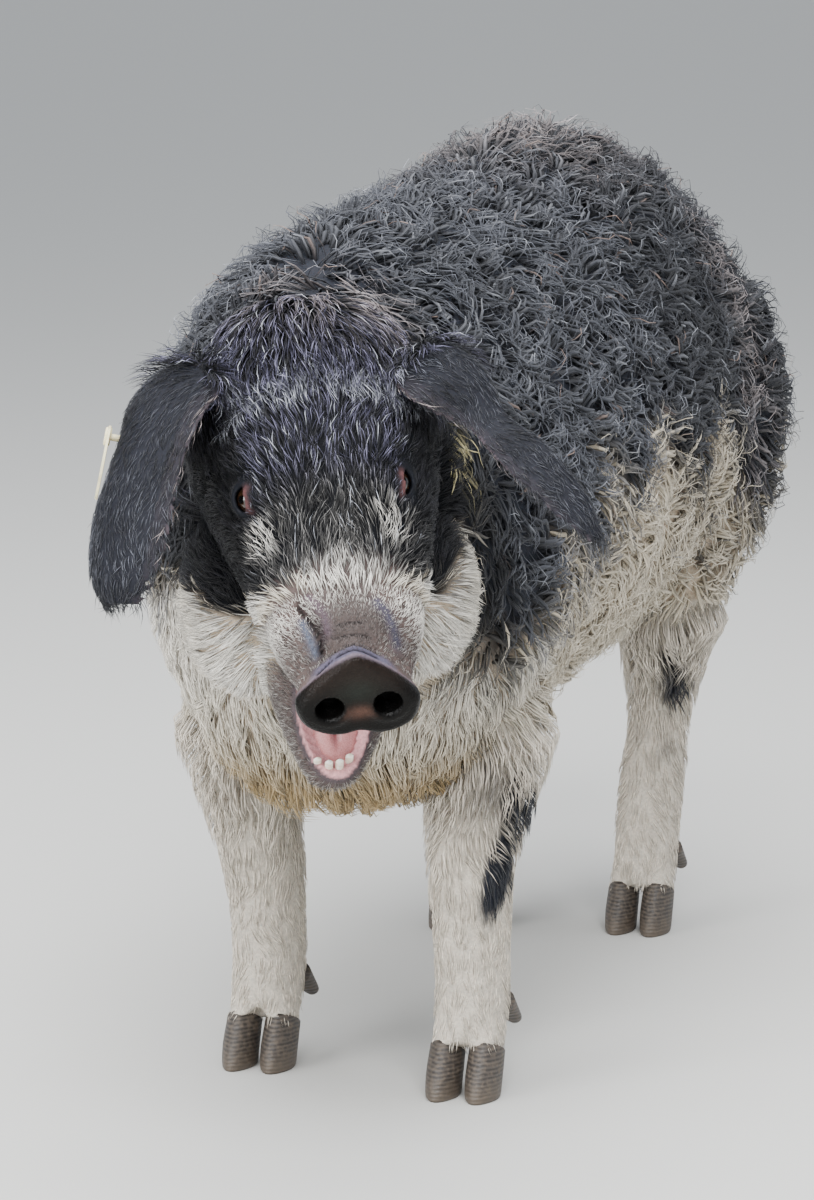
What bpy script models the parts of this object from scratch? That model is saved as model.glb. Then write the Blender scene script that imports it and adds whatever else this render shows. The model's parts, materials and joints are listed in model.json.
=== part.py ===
"""A curly-coated mangalica pig with a swallow belly, standing with its head low and turned to its left.

Metres, +Z up. The pig faces -Y and its left side is +X. The origin is on the ground below the middle of
the pig's box. The body is modelled whole, with its coat as rounded clumps, and is then parted by thin cuts
into torso, neck, head and legs. All sizes are of the coat's outside unless they say otherwise.
"""

import math
import random
from dataclasses import dataclass

import bmesh
import bpy
from mathutils import Matrix, Vector

# Driving dimensions
GAP = 0.0003
WELD = 0.000001
SEED = 11
# The left front foot's place and the middle plane's, which bring the middle of the pig's box over the origin
FRONT_FEET_Y = -0.286
BODY_X = -0.038

# Coat: the clumps stand on a core, which reaches half way from the skin to their tips
CORE_INSET = 0.022
CLUMP_SPACING = 0.138
CLUMP_RADIUS = 0.074
CLUMP_SIDES = 5
CLUMP_LEAN = 0.30
# Height and radius of a clump's rings, as shares of its own
CLUMP_PROFILE = ((-0.75, 1.00), (0.20, 0.94), (0.82, 0.58))
# Distance between rows, jitter round the body and along it, and change of height, as shares
CLUMP_ROW_STEP = 0.86
CLUMP_JITTER = (0.12, 0.10)
CLUMP_HEIGHTS = (0.90, 1.05)
# Rows on the body begin this far behind the front feet and end this far before the rump's end
CLUMP_FIRST_ROW = -0.215
CLUMP_LAST_ROW = 0.045
# Rows on a leg: the lowest, the step up, how far they stay below its top and the least height of a clump
LEG_CLUMP_ROWS = (0.200, 0.110, 0.060)
LEG_CLUMP_LEAST = 0.006

# Body stations: distance behind the front feet, half width, top, bottom, height of the widest line, shift left
BODY = [
    (-0.300, 0.100, 0.680, 0.500, 0.590, 0.040),
    (-0.235, 0.130, 0.724, 0.415, 0.560, 0.024),
    (-0.165, 0.162, 0.752, 0.320, 0.525, 0.010),
    (-0.090, 0.186, 0.768, 0.254, 0.500, 0.000),
    (0.000, 0.200, 0.775, 0.240, 0.485, 0.000),
    (0.120, 0.205, 0.778, 0.252, 0.490, 0.000),
    (0.280, 0.213, 0.785, 0.266, 0.500, 0.000),
    (0.450, 0.219, 0.806, 0.276, 0.510, 0.000),
    (0.600, 0.216, 0.812, 0.306, 0.520, 0.000),
    (0.720, 0.212, 0.794, 0.350, 0.530, 0.000),
    (0.820, 0.194, 0.750, 0.400, 0.545, 0.000),
    (0.890, 0.156, 0.692, 0.445, 0.555, 0.000),
    (0.935, 0.098, 0.630, 0.490, 0.560, 0.000),
    (0.955, 0.040, 0.590, 0.530, 0.560, 0.000),
]
TOP_SQUARENESS = 1.10
BOTTOM_SQUARENESS = 0.88
BODY_RINGS = 16
BODY_SIDES = 16

# Leg stations: height, distance out from the foot line, distance behind the foot, half width, half length
FRONT_LEG = [
    (0.430, 0.010, 0.030, 0.068, 0.092),
    (0.330, 0.012, 0.022, 0.066, 0.082),
    (0.260, 0.006, 0.008, 0.056, 0.062),
    (0.195, 0.000, 0.000, 0.044, 0.048),
    (0.140, 0.000, 0.004, 0.035, 0.038),
    (0.090, 0.000, 0.006, 0.034, 0.038),
    (0.055, 0.000, -0.002, 0.033, 0.034),
]
HIND_LEG = [
    (0.620, 0.020, 0.020, 0.088, 0.150),
    (0.520, 0.030, 0.022, 0.102, 0.168),
    (0.430, 0.030, 0.010, 0.096, 0.150),
    (0.350, 0.018, 0.000, 0.076, 0.108),
    (0.280, 0.006, 0.024, 0.052, 0.070),
    (0.215, 0.000, 0.044, 0.038, 0.050),
    (0.150, 0.000, 0.030, 0.034, 0.039),
    (0.090, 0.000, 0.012, 0.033, 0.038),
    (0.055, 0.000, 0.000, 0.033, 0.034),
]
LEG_SIDES = 10
LEG_COAT_TOP = 0.340
LEG_COAT_END = 0.120
# Between these heights a leg goes over from its foot's place to its top's
LEG_BLEND = (0.10, 0.42)
# Where a leg is parted from the trunk: reach before and behind its top, height of the cut inside and outside
FRONT_CUT = (-0.115, 0.145, 0.222, 0.430)
HIND_CUT = (-0.200, 0.300, 0.300, 0.560)
CUT_INSIDE = 0.004
CUT_OUTSIDE = 0.360
CUT_WIDTH = 0.250

# Toe stations: height, distance behind the foot, half width, half length
TOE = [
    (0.000, -0.026, 0.0145, 0.0280),
    (0.018, -0.022, 0.0155, 0.0270),
    (0.040, -0.011, 0.0150, 0.0240),
    (0.062, -0.003, 0.0135, 0.0210),
    (0.080, 0.004, 0.0120, 0.0180),
]
TOE_OUT = 0.0175
TOE_SIDES = 8
CORONET_HEIGHT = 0.036
CORONET_SLOPE = math.radians(16)
# How far the regions below and above the coronet reach, to the sides and away from it
CORONET_BELOW = (0.06, 0.12)
CORONET_ABOVE = (0.30, 0.90)
DEWCLAW_ROOT = Vector((0.020, 0.026, 0.075))
DEWCLAW_LENGTH = 0.040
DEWCLAW_DROOP = math.radians(38)
DEWCLAW_RADII = (0.0105, 0.0035)
DEWCLAW_TURN = 0.15

# Head: the frame's origin is the middle of the snout's disc, +Y' runs out of it, +X' is the pig's right side,
# and +Z' is the forehead's side
DISC_PLACE = Vector((0.127, FRONT_FEET_Y - 0.430, 0.414))
HEAD_YAW = math.radians(26)
HEAD_PITCH = math.radians(38)
HEAD_ROLL = math.radians(7)
# Stations: place along the axis, half width, reach above the axis, reach below it, tilt of the ring's plane
HEAD = [
    (0.000, 0.0450, 0.0340, 0.0360, 12),
    (-0.006, 0.0500, 0.0390, 0.0410, 12),
    (-0.016, 0.0490, 0.0385, 0.0390, 10),
    (-0.026, 0.0450, 0.0355, 0.0340, 7),
    (-0.055, 0.0570, 0.0430, 0.0370, 3),
    (-0.095, 0.0650, 0.0540, 0.0440, 0),
    (-0.140, 0.0750, 0.0710, 0.0540, 0),
    (-0.180, 0.0870, 0.1000, 0.0700, 0),
    (-0.225, 0.1010, 0.1250, 0.0980, 0),
    (-0.275, 0.1080, 0.1370, 0.1200, 0),
    (-0.320, 0.1020, 0.1320, 0.1250, 0),
    (-0.360, 0.0800, 0.1080, 0.1050, 0),
]
HEAD_SIDES = 20
HEAD_SQUARENESS = 0.92
CHEEK_PLACE = Vector((0.066, -0.205, -0.098))
CHEEK_RADII = Vector((0.064, 0.088, 0.082))
# Radius and height of the clumps on the cheeks and on the poll
CHEEK_CLUMP = (0.046, 0.014)
POLL_CLUMP = (0.050, 0.014)
# Where they stand, in degrees: turn ahead and rise on a cheek, place along the head and turns off its crest
CHEEK_CLUMPS = ((62, -10), (25, 20), (22, -35), (-25, 0), (-30, -50), (75, -62), (10, -78))
POLL_CLUMPS = ((-0.225, (-20, 20)), (-0.275, (-42, 0, 42)), (-0.322, (-22, 22)))
# The plane that parts head and neck, and the one that parts neck and torso, from the front feet
HEAD_CUT = Vector((0.03, -0.220, 0.560))
HEAD_CUT_YAW = math.radians(13)
HEAD_CUT_PITCH = math.radians(15)
HEAD_CUT_REACH = (0.50, 0.60, 0.33, 0.45)
NECK_CUT = -0.120
NECK_CUT_SLOPE = 0.10
NECK_CUT_HEIGHT = 0.50

# Lower jaw, hanging open a little to the pig's right: place along the axis, height of the ring's middle,
# half width, reach above and below, shift to the pig's right
JAW = [
    (-0.020, -0.120, 0.0110, 0.0060, 0.0080, 0.018),
    (-0.028, -0.118, 0.0210, 0.0130, 0.0150, 0.018),
    (-0.050, -0.106, 0.0340, 0.0300, 0.0260, 0.015),
    (-0.078, -0.090, 0.0480, 0.0430, 0.0380, 0.010),
    (-0.115, -0.084, 0.0580, 0.0420, 0.0460, 0.005),
    (-0.160, -0.082, 0.0640, 0.0400, 0.0500, 0.000),
    (-0.200, -0.082, 0.0620, 0.0380, 0.0480, 0.000),
]
JAW_SIDES = 14
JAW_SQUARENESS = 0.8
MOUTH_PLACE = Vector((0.013, -0.050, -0.074))
MOUTH_RADII = Vector((0.029, 0.054, 0.026))
MOUTH_SLOPE = math.radians(38)
TONGUE_PLACE = Vector((0.014, -0.066, -0.094))
TONGUE_RADII = Vector((0.021, 0.036, 0.010))
TONGUE_SLOPE = math.radians(30)
TEETH = 4
TOOTH_SPAN = 0.0085
TOOTH_ARCH = 0.0022
TOOTH_LENGTH = 0.014
TOOTH_ROOT = 0.006
TOOTH_LEAN = 0.35
TOOTH_RADII = (0.0036, 0.0025)
TOOTH_PLACE = Vector((0.018, -0.029, -0.111))

NOSTRIL_PLACE = Vector((0.0225, 0.004, -0.012))
NOSTRIL_RADII = Vector((0.0135, 0.022, 0.0094))
EYE_PLACE = Vector((0.0610, -0.178, 0.0530))
EYE_RADIUS = 0.0125
LID_RADIUS = 0.0180
LID_OPENING = Vector((0.0120, 0.0105, 0.0060))
EYE_TURN = math.radians(35)
EYE_SEGMENTS = 12

# Ears: a root in the head's frame, then the way to a bend and to the tip in the world's directions
# Place along the ear and half width
EAR_SPAN = [(0, 0.034), (0.15, 0.050), (0.35, 0.061), (0.60, 0.056), (0.82, 0.036), (0.95, 0.017), (1, 0.007)]
EAR_THICKNESS = 0.0050
EAR_EDGE = 0.4
EAR_CUP = 0.52
EAR_SIDES = 6

TAIL_ROOT = Vector((0.0, FRONT_FEET_Y + 0.925, 0.640))
TAIL_REACH = 0.060
TAIL_DROP = 0.235
TAIL_CURL = 0.026
TAIL_TURNS = 1.35
TAIL_RADII = (0.0165, 0.0075)
TAIL_RINGS = 15
TAIL_SIDES = 6
TASSEL_LOCKS = 4
TASSEL_LENGTH = 0.115
TASSEL_SPREAD = 0.20
TASSEL_RADII = (0.0080, 0.0125, 0.0015)

TAG_SIZE = Vector((0.044, 0.0024, 0.058))
TAG_PIN_RADIUS = 0.0028
TAG_BUTTON_RADIUS = 0.0130
# Place along the ear, share of its half width, the way of the pin and the way that the plate hangs
TAG_ALONG = 0.38
TAG_ACROSS = -0.80
TAG_WAY = Vector((-0.93, -0.30, 0.20)).normalized()
TAG_HANG = Vector((0.05, 0.05, -1.0))
TAG_PIN_REACH = 0.014


@dataclass(frozen=True)
class Finish:
    """A sub-part's colour, roughness and metallic value."""

    colour: tuple
    roughness: float
    metallic: float = 0.0


BLACK_COAT = Finish((0.045, 0.047, 0.058, 1), 0.85)
CREAM_COAT = Finish((0.62, 0.54, 0.43, 1), 0.85)
MUZZLE_SKIN = Finish((0.20, 0.16, 0.17, 1), 0.6)
MOUTH_SKIN = Finish((0.62, 0.27, 0.26, 1), 0.4)
HORN = Finish((0.035, 0.032, 0.030, 1), 0.5)
EYE_BROWN = Finish((0.02, 0.012, 0.008, 1), 0.1)
EAR_SKIN = Finish((0.07, 0.065, 0.075, 1), 0.75)
TAG_CREAM = Finish((0.82, 0.74, 0.48, 1), 0.45)


@dataclass(frozen=True)
class Leg:
    """One leg: its side (+1 is left), its stations and where its foot and top stand."""

    name: str
    side: int
    stations: list
    foot_y: float
    top_y: float
    foot_out: float
    top_out: float
    cut: tuple


LEGS = [
    Leg("leg_front_left", 1, FRONT_LEG, FRONT_FEET_Y, FRONT_FEET_Y, 0.100, 0.100, FRONT_CUT),
    Leg("leg_front_right", -1, FRONT_LEG, FRONT_FEET_Y + 0.058, FRONT_FEET_Y, 0.102, 0.108, FRONT_CUT),
    Leg("leg_hind_left", 1, HIND_LEG, FRONT_FEET_Y + 0.700, FRONT_FEET_Y + 0.720, 0.086, 0.098, HIND_CUT),
    Leg("leg_hind_right", -1, HIND_LEG, FRONT_FEET_Y + 0.670, FRONT_FEET_Y + 0.720, 0.086, 0.098, HIND_CUT),
]


@dataclass(frozen=True)
class Ear:
    """One ear: its side, its root in the head's frame, and its course in the world's directions."""

    name: str
    side: int
    root: Vector
    bend: Vector
    tip: Vector
    across: Vector


EARS = [
    Ear("ear_right", 1, Vector((0.084, -0.268, 0.088)), Vector((-0.040, -0.050, -0.010)),
        Vector((-0.036, -0.105, -0.205)), Vector((0.74, -0.60, 0.05))),
    Ear("ear_left", -1, Vector((-0.083, -0.268, 0.084)), Vector((0.072, -0.022, -0.010)),
        Vector((0.170, -0.085, -0.110)), Vector((-0.10, -0.95, -0.22))),
]


def catmull(keys, at):
    """The row of numbers at a place on a smooth curve through key rows that begin with their places."""
    rows = keys if keys[0][0] < keys[-1][0] else keys[::-1]
    i = 0
    while i < len(rows) - 2 and rows[i + 1][0] < at:
        i += 1
    before, a, b, after = rows[max(i - 1, 0)], rows[i], rows[i + 1], rows[min(i + 2, len(rows) - 1)]
    span = b[0] - a[0]
    t = (at - a[0]) / span
    found = [at]
    for k in range(1, len(a)):
        slope_a = (b[k] - before[k]) / max(b[0] - before[0], 1e-9) * span
        slope_b = (after[k] - a[k]) / max(after[0] - a[0], 1e-9) * span
        found.append(
            (2 * t**3 - 3 * t**2 + 1) * a[k]
            + (t**3 - 2 * t**2 + t) * slope_a
            + (3 * t**2 - 2 * t**3) * b[k]
            + (t**3 - t**2) * slope_b
        )
    return found


def ramp(value, start, end):
    """0 at the start, 1 at the end, smooth between."""
    t = min(max((value - start) / (end - start), 0.0), 1.0)
    return t * t * (3 - 2 * t)


def bent(value, power):
    """A sine or cosine bent towards a squarer or rounder curve, with its sign kept."""
    return math.copysign(abs(value) ** power, value)


def material(finish, name):
    """A Principled material with the finish."""
    made = bpy.data.materials.new(name)
    made.use_nodes = True
    shader = made.node_tree.nodes["Principled BSDF"]
    shader.inputs["Base Color"].default_value = finish.colour
    shader.inputs["Roughness"].default_value = finish.roughness
    shader.inputs["Metallic"].default_value = finish.metallic
    return made


def finished(name, mesh):
    """An object in the working collection made from the working mesh."""
    data = bpy.data.meshes.new(name)
    mesh.to_mesh(data)
    mesh.free()
    made = bpy.data.objects.new(name, data)
    bpy.data.collections["working pieces"].objects.link(made)
    return made


def copied(thing, name):
    """A second object with its own copy of the mesh."""
    made = bpy.data.objects.new(name, thing.data.copy())
    bpy.data.collections["working pieces"].objects.link(made)
    return made


def loft(name, rings, leaf=False):
    """A closed mesh through rings of points, with fans over its ends, or strips where it is a leaf."""
    mesh = bmesh.new()
    rows = [[mesh.verts.new(point) for point in ring] for ring in rings]
    count = len(rows[0])
    for near, far in zip(rows, rows[1:]):
        for k in range(count):
            beside = (k + 1) % count
            mesh.faces.new((near[k], near[beside], far[k]))
            mesh.faces.new((near[beside], far[beside], far[k]))
    for row in (rows[0], rows[-1]):
        if leaf:
            for k in range(count // 2 - 1):
                mesh.faces.new((row[k], row[k + 1], row[-1 - k]))
                mesh.faces.new((row[k + 1], row[-2 - k], row[-1 - k]))
        else:
            middle = mesh.verts.new(sum((v.co for v in row), Vector()) / count)
            for k in range(count):
                mesh.faces.new((row[k], row[(k + 1) % count], middle))
    bmesh.ops.recalc_face_normals(mesh, faces=mesh.faces)
    return finished(name, mesh)


def ball(name, frame, place, radii, segments, rings):
    """A ball stretched to three radii, in a frame."""
    mesh = bmesh.new()
    bmesh.ops.create_uvsphere(mesh, u_segments=segments, v_segments=rings, radius=1.0)
    stretched = frame @ Matrix.Translation(place) @ Matrix.Diagonal((*radii, 1.0))
    bmesh.ops.transform(mesh, matrix=stretched, verts=mesh.verts)
    return finished(name, mesh)


def cone(name, start, end, radius_start, radius_end, sides):
    """A straight tapered rod between two points."""
    mesh = bmesh.new()
    way = end - start
    bmesh.ops.create_cone(
        mesh, cap_ends=True, segments=sides, radius1=radius_start, radius2=radius_end, depth=way.length
    )
    turn = way.to_track_quat("Z", "Y").to_matrix().to_4x4()
    bmesh.ops.transform(mesh, matrix=Matrix.Translation((start + end) / 2) @ turn, verts=mesh.verts)
    return finished(name, mesh)


def block(name, corners):
    """A box-like region from its eight corners, four below in turn and the four above them."""
    return loft(name, [corners[:4], corners[4:]])


def combine(base, others, how):
    """The base joined with, cut by or kept inside the other objects, which are then removed."""
    group = bpy.data.collections.new("operands")
    bpy.context.scene.collection.children.link(group)
    for thing in others:
        bpy.data.collections["working pieces"].objects.unlink(thing)
        group.objects.link(thing)
    change = base.modifiers.new(how.lower(), "BOOLEAN")
    change.operand_type = "COLLECTION"
    change.collection = group
    change.operation = how
    change.solver = "MANIFOLD"
    shaped = base.evaluated_get(bpy.context.evaluated_depsgraph_get())
    base.data = bpy.data.meshes.new_from_object(shaped)
    base.modifiers.clear()
    for thing in list(group.objects):
        bpy.data.objects.remove(thing)
    bpy.data.collections.remove(group)
    return base


def keep_largest(thing):
    """Leaves only the largest closed surface of an object, with its slivers welded."""
    mesh = bmesh.new()
    mesh.from_mesh(thing.data)
    bmesh.ops.triangulate(mesh, faces=mesh.faces)
    bmesh.ops.remove_doubles(mesh, verts=mesh.verts, dist=WELD)
    bmesh.ops.dissolve_degenerate(mesh, edges=mesh.edges, dist=WELD)
    left = set(mesh.verts)
    islands = []
    while left:
        island = {left.pop()}
        edge = list(island)
        while edge:
            for link in edge.pop().link_edges:
                for vert in link.verts:
                    if vert in left:
                        left.remove(vert)
                        island.add(vert)
                        edge.append(vert)
        islands.append(island)
    islands.sort(key=len)
    for island in islands[:-1]:
        bmesh.ops.delete(mesh, geom=list(island), context="VERTS")
    mesh.to_mesh(thing.data)
    mesh.free()
    return thing


def body_point(back, turn, inset):
    """A point on the body, at a distance behind the front feet and a turn round from +X over the back."""
    _, half, top, bottom, middle, shift = catmull(BODY, back)
    upper = math.sin(turn) > 0
    power = TOP_SQUARENESS if upper else BOTTOM_SQUARENESS
    rise = (top - middle) if upper else (middle - bottom)
    x = max(half - inset, 0.01) * bent(math.cos(turn), power)
    z = middle + max(rise - inset, 0.01) * bent(math.sin(turn), power)
    return Vector((x + shift, FRONT_FEET_Y + back, z))


def body_core():
    """The trunk and neck as one barrel."""
    first, last = BODY[0][0] + CORE_INSET, BODY[-1][0] - CORE_INSET
    rings = []
    for i in range(BODY_RINGS):
        back = first + (last - first) * i / (BODY_RINGS - 1)
        rings.append([body_point(back, math.tau * k / BODY_SIDES, CORE_INSET) for k in range(BODY_SIDES)])
    return loft("body_core", rings)


def leg_middle(leg, station):
    """The middle of a leg's ring."""
    height, out, back, _, _ = station
    share = ramp(height, *LEG_BLEND)
    x = leg.side * (leg.foot_out + (leg.top_out - leg.foot_out) * share + out)
    y = leg.foot_y + (leg.top_y - leg.foot_y) * share + back
    return Vector((x, y, height))


def leg_core(leg):
    """A leg from inside the trunk down to the pastern."""
    rings = []
    for station in leg.stations:
        inset = CORE_INSET * ramp(station[0], LEG_COAT_END, LEG_COAT_TOP)
        half, length = station[3] - inset, station[4] - inset
        ring = []
        for k in range(LEG_SIDES):
            a = math.tau * k / LEG_SIDES
            ring.append(leg_middle(leg, station) + Vector((half * math.cos(a), length * math.sin(a), 0)))
        rings.append(ring)
    return loft("leg_core", rings)


def toe(leg, inner):
    """One toe, from inside the pastern to its flat sole."""
    x = leg.side * (leg.foot_out - inner * TOE_OUT)
    rings = []
    for height, back, half, length in TOE:
        ring = []
        for k in range(TOE_SIDES):
            a = math.tau * (k + 0.5) / TOE_SIDES
            ring.append(Vector((x + half * math.cos(a), leg.foot_y + back + length * math.sin(a), height)))
        rings.append(ring)
    return loft("toe", rings)


def coronet(leg, below):
    """The region below or above the slanted line where the horn begins, with half the gap left out."""
    middle = Vector((leg.side * leg.foot_out, leg.foot_y, CORONET_HEIGHT + (-GAP / 2 if below else GAP / 2)))
    reach, depth = CORONET_BELOW if below else CORONET_ABOVE
    corners = []
    for level in (-depth, 0) if below else (0, depth):
        for x, y in ((-reach, -reach), (reach, -reach), (reach, reach), (-reach, reach)):
            corners.append(middle + Vector((x, y, level - y * math.tan(CORONET_SLOPE))))
    return block("coronet", corners)


def leg_region(leg, grow):
    """The region of one leg under a plane that rises outwards."""
    ahead, behind, low, high = leg.cut
    inner, outer = CUT_INSIDE - grow, CUT_OUTSIDE
    front, rear = leg.top_y + ahead - grow, leg.top_y + behind + grow
    corners = []
    for under in (True, False):
        for x, y in ((inner, front), (outer, front), (outer, rear), (inner, rear)):
            height = low + (high - low) * x / CUT_WIDTH
            corners.append(Vector((leg.side * x, y, -0.05 if under else height + grow)))
    return block("leg_region", corners)


def head_matrix():
    """The head's frame, with +Y' out of the snout."""
    turn = Matrix.Rotation(HEAD_YAW, 4, "Z") @ Matrix.Rotation(math.pi, 4, "Z")
    dip = Matrix.Rotation(-HEAD_PITCH, 4, "X")
    lean = Matrix.Rotation(HEAD_ROLL, 4, "Y")
    return Matrix.Translation(DISC_PLACE) @ turn @ dip @ lean


def head_core():
    """The skull with its flesh, from the disc to the nape."""
    rings = []
    for place, half, above, below, tilt in HEAD:
        lean = Matrix.Rotation(math.radians(tilt), 4, "X")
        ring = []
        for k in range(HEAD_SIDES):
            a = math.tau * k / HEAD_SIDES
            reach = above if math.sin(a) > 0 else below
            x = half * bent(math.cos(a), HEAD_SQUARENESS)
            z = reach * bent(math.sin(a), HEAD_SQUARENESS)
            ring.append(head_matrix() @ (lean @ Vector((x, 0, z)) + Vector((0, place, 0))))
        rings.append(ring)
    return loft("head_core", rings)


def jaw_core(grow=0.0):
    """The open lower jaw."""
    rings = []
    for i, (place, middle, half, above, below, shift) in enumerate(JAW):
        end = grow if i == 0 else (-grow if i == len(JAW) - 1 else 0.0)
        ring = []
        for k in range(JAW_SIDES):
            a = math.tau * k / JAW_SIDES
            reach = above if math.sin(a) > 0 else below
            x = shift + (half + grow) * bent(math.cos(a), JAW_SQUARENESS)
            z = middle + (reach + grow) * bent(math.sin(a), JAW_SQUARENESS)
            ring.append(head_matrix() @ Vector((x, place + end, z)))
        rings.append(ring)
    return loft("jaw_core", rings)


def grown(radii, by):
    """Three radii with the same amount added to each."""
    return Vector(tuple(r + by for r in radii))


def scaled(vector, shares):
    """A vector with each number multiplied by its own share."""
    return Vector(tuple(a * b for a, b in zip(vector, shares)))


def ear_frame(ear, t):
    """The ear's middle line at t, its way on, its width's direction and its back's direction."""
    root = head_matrix() @ ear.root
    bend, tip = root + ear.bend, root + ear.tip
    place = (1 - t) ** 2 * root + 2 * t * (1 - t) * bend + t * t * tip
    way = (2 * (1 - t) * (bend - root) + 2 * t * (tip - bend)).normalized()
    across = (ear.across - way * ear.across.dot(way)).normalized()
    return place, way, across, way.cross(across).normalized()


def ear_solid(ear, grow=0.0):
    """A hanging ear: a cupped leaf of even thickness."""
    rings = []
    for i, (t, span) in enumerate(EAR_SPAN):
        place, way, across, back = ear_frame(ear, t)
        end = -grow if i == 0 else (grow if i == len(EAR_SPAN) - 1 else 0.0)
        ring = []
        for face in (1, -1):
            for k in range(EAR_SIDES):
                u = -1 + 2 * (k + 0.5) / EAR_SIDES if face > 0 else 1 - 2 * (k + 0.5) / EAR_SIDES
                hollow = EAR_CUP * span * (1 - u * u)
                half = EAR_THICKNESS * (1 - (1 - EAR_EDGE) * abs(u)) + grow
                wide = u * (span + grow) / (1 - 1 / EAR_SIDES)
                ring.append(place + way * end + across * wide + back * (hollow * ear.side + face * half))
        rings.append(ring)
    return loft("ear", rings, leaf=True)


def clump(root, normal, lie, radius, height):
    """One rounded clump of curls, rooted in the core and leaning along the coat's lie."""
    side = normal.cross(lie).normalized()
    ahead = side.cross(normal).normalized()
    mesh = bmesh.new()
    rings = []
    for level, width in CLUMP_PROFILE:
        shift = ahead * (CLUMP_LEAN * radius * max(level, 0.0))
        ring = []
        for k in range(CLUMP_SIDES):
            a = math.tau * (k + 0.5) / CLUMP_SIDES
            flat = (side * math.cos(a) + ahead * math.sin(a)) * radius * width
            ring.append(mesh.verts.new(root + shift + flat + normal * (level * height)))
        rings.append(ring)
    mesh.faces.new(rings[0])
    for near, far in zip(rings, rings[1:]):
        for k in range(CLUMP_SIDES):
            mesh.faces.new((near[k], near[(k + 1) % CLUMP_SIDES], far[(k + 1) % CLUMP_SIDES], far[k]))
    tip = mesh.verts.new(root + ahead * (CLUMP_LEAN * radius) + normal * height)
    for k in range(CLUMP_SIDES):
        mesh.faces.new((rings[-1][k], rings[-1][(k + 1) % CLUMP_SIDES], tip))
    bmesh.ops.recalc_face_normals(mesh, faces=mesh.faces)
    return finished("clump", mesh)


def body_clumps(chance):
    """Clumps in staggered rows round the barrel, from the neck to the rump."""
    made = []
    first, last = CLUMP_FIRST_ROW, BODY[-1][0] - CLUMP_LAST_ROW
    rows = round((last - first) / (CLUMP_SPACING * CLUMP_ROW_STEP))
    for row in range(rows + 1):
        back = first + (last - first) * row / rows
        around = [body_point(back, math.tau * k / 72, CORE_INSET) for k in range(73)]
        girth = sum((b - a).length for a, b in zip(around, around[1:]))
        count = max(3, round(girth / CLUMP_SPACING))
        for k in range(count):
            turn = math.tau * (k + 0.5 * (row % 2) + chance.uniform(-1, 1) * CLUMP_JITTER[0]) / count
            place = min(max(back + chance.uniform(-1, 1) * CLUMP_JITTER[1] * CLUMP_SPACING, first), last)
            root = body_point(place, turn, CORE_INSET)
            along = body_point(place + 0.01, turn, CORE_INSET) - root
            over = body_point(place, turn + 0.05, CORE_INSET) - root
            normal = over.cross(along).normalized()
            lie = Vector((0, 1, -0.55))
            size = CLUMP_RADIUS * chance.uniform(0.9, 1.1)
            made.append(clump(root, normal, lie, size, CORE_INSET * chance.uniform(*CLUMP_HEIGHTS)))
    return made


def leg_clumps(leg, chance):
    """Clumps round the upper leg."""
    made = []
    height, step, below = LEG_CLUMP_ROWS
    while height < leg.stations[0][0] - below:
        station = catmull(leg.stations, height)
        coat = CORE_INSET * ramp(height, LEG_COAT_END, LEG_COAT_TOP)
        half, length = station[3] - coat, station[4] - coat
        count = max(3, round(math.pi * (half + length) / CLUMP_SPACING))
        for k in range(count):
            a = math.tau * (k + chance.uniform(0.3, 0.7)) / count
            root = leg_middle(leg, station) + Vector((half * math.cos(a), length * math.sin(a), 0))
            normal = Vector((math.cos(a) / half, math.sin(a) / length, 0)).normalized()
            size = min(CLUMP_RADIUS * 0.85, half * 0.85)
            made.append(clump(root, normal, Vector((0, 0.2, -1)), size, max(coat, LEG_CLUMP_LEAST)))
        height += step
    return made


def head_clumps(chance):
    """Clumps on the cheeks, and the long ones of the poll."""
    frame = head_matrix()
    turn = frame.to_3x3()
    made = []
    for side in (1, -1):
        place = cheek_place(side)
        for ahead, up in CHEEK_CLUMPS:
            a, b = math.radians(ahead), math.radians(up)
            way = Vector((side * math.cos(a) * math.cos(b), math.sin(a) * math.cos(b), math.sin(b)))
            root = frame @ (place + scaled(way, CHEEK_RADII))
            normal = (turn @ scaled(way, [1 / r for r in CHEEK_RADII])).normalized()
            size = CHEEK_CLUMP[0] * chance.uniform(0.92, 1.08)
            made.append(clump(root, normal, turn @ Vector((side * 0.5, -1, -0.6)), size, CHEEK_CLUMP[1]))
    for place, turns in POLL_CLUMPS:
        _, half, above, _, _ = catmull(HEAD, place)
        for degrees in turns:
            a = math.radians(degrees)
            root = frame @ Vector((half * math.sin(a), place, above * math.cos(a)))
            normal = (turn @ Vector((math.sin(a) / half, 0.25, math.cos(a) / above))).normalized()
            made.append(clump(root, normal, turn @ Vector((0, 1, 0)), *POLL_CLUMP))
    return made


def head_region(grow):
    """The region of the head, in front of a plane through the nape and the throat."""
    frame = Matrix.Translation(HEAD_CUT + Vector((0, FRONT_FEET_Y, 0)))
    frame = frame @ Matrix.Rotation(HEAD_CUT_YAW, 4, "Z") @ Matrix.Rotation(HEAD_CUT_PITCH, 4, "X")
    side, ahead, below, above = HEAD_CUT_REACH
    corners = []
    for z in (-below - grow, above):
        for x, y in ((-side, -ahead), (side, -ahead), (side, grow), (-side, grow)):
            corners.append(frame @ Vector((x, y, z)))
    return block("head_region", corners)


def neck_region(grow):
    """The region in front of a plane before the shoulders."""
    front = -1.5
    corners = []
    for z in (-0.1, 1.2):
        rear = FRONT_FEET_Y + NECK_CUT + NECK_CUT_SLOPE * (NECK_CUT_HEIGHT - z) + grow
        corners.extend(Vector((x, y, z)) for x, y in ((-0.5, front), (0.5, front), (0.5, rear), (-0.5, rear)))
    return block("neck_region", corners)


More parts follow.
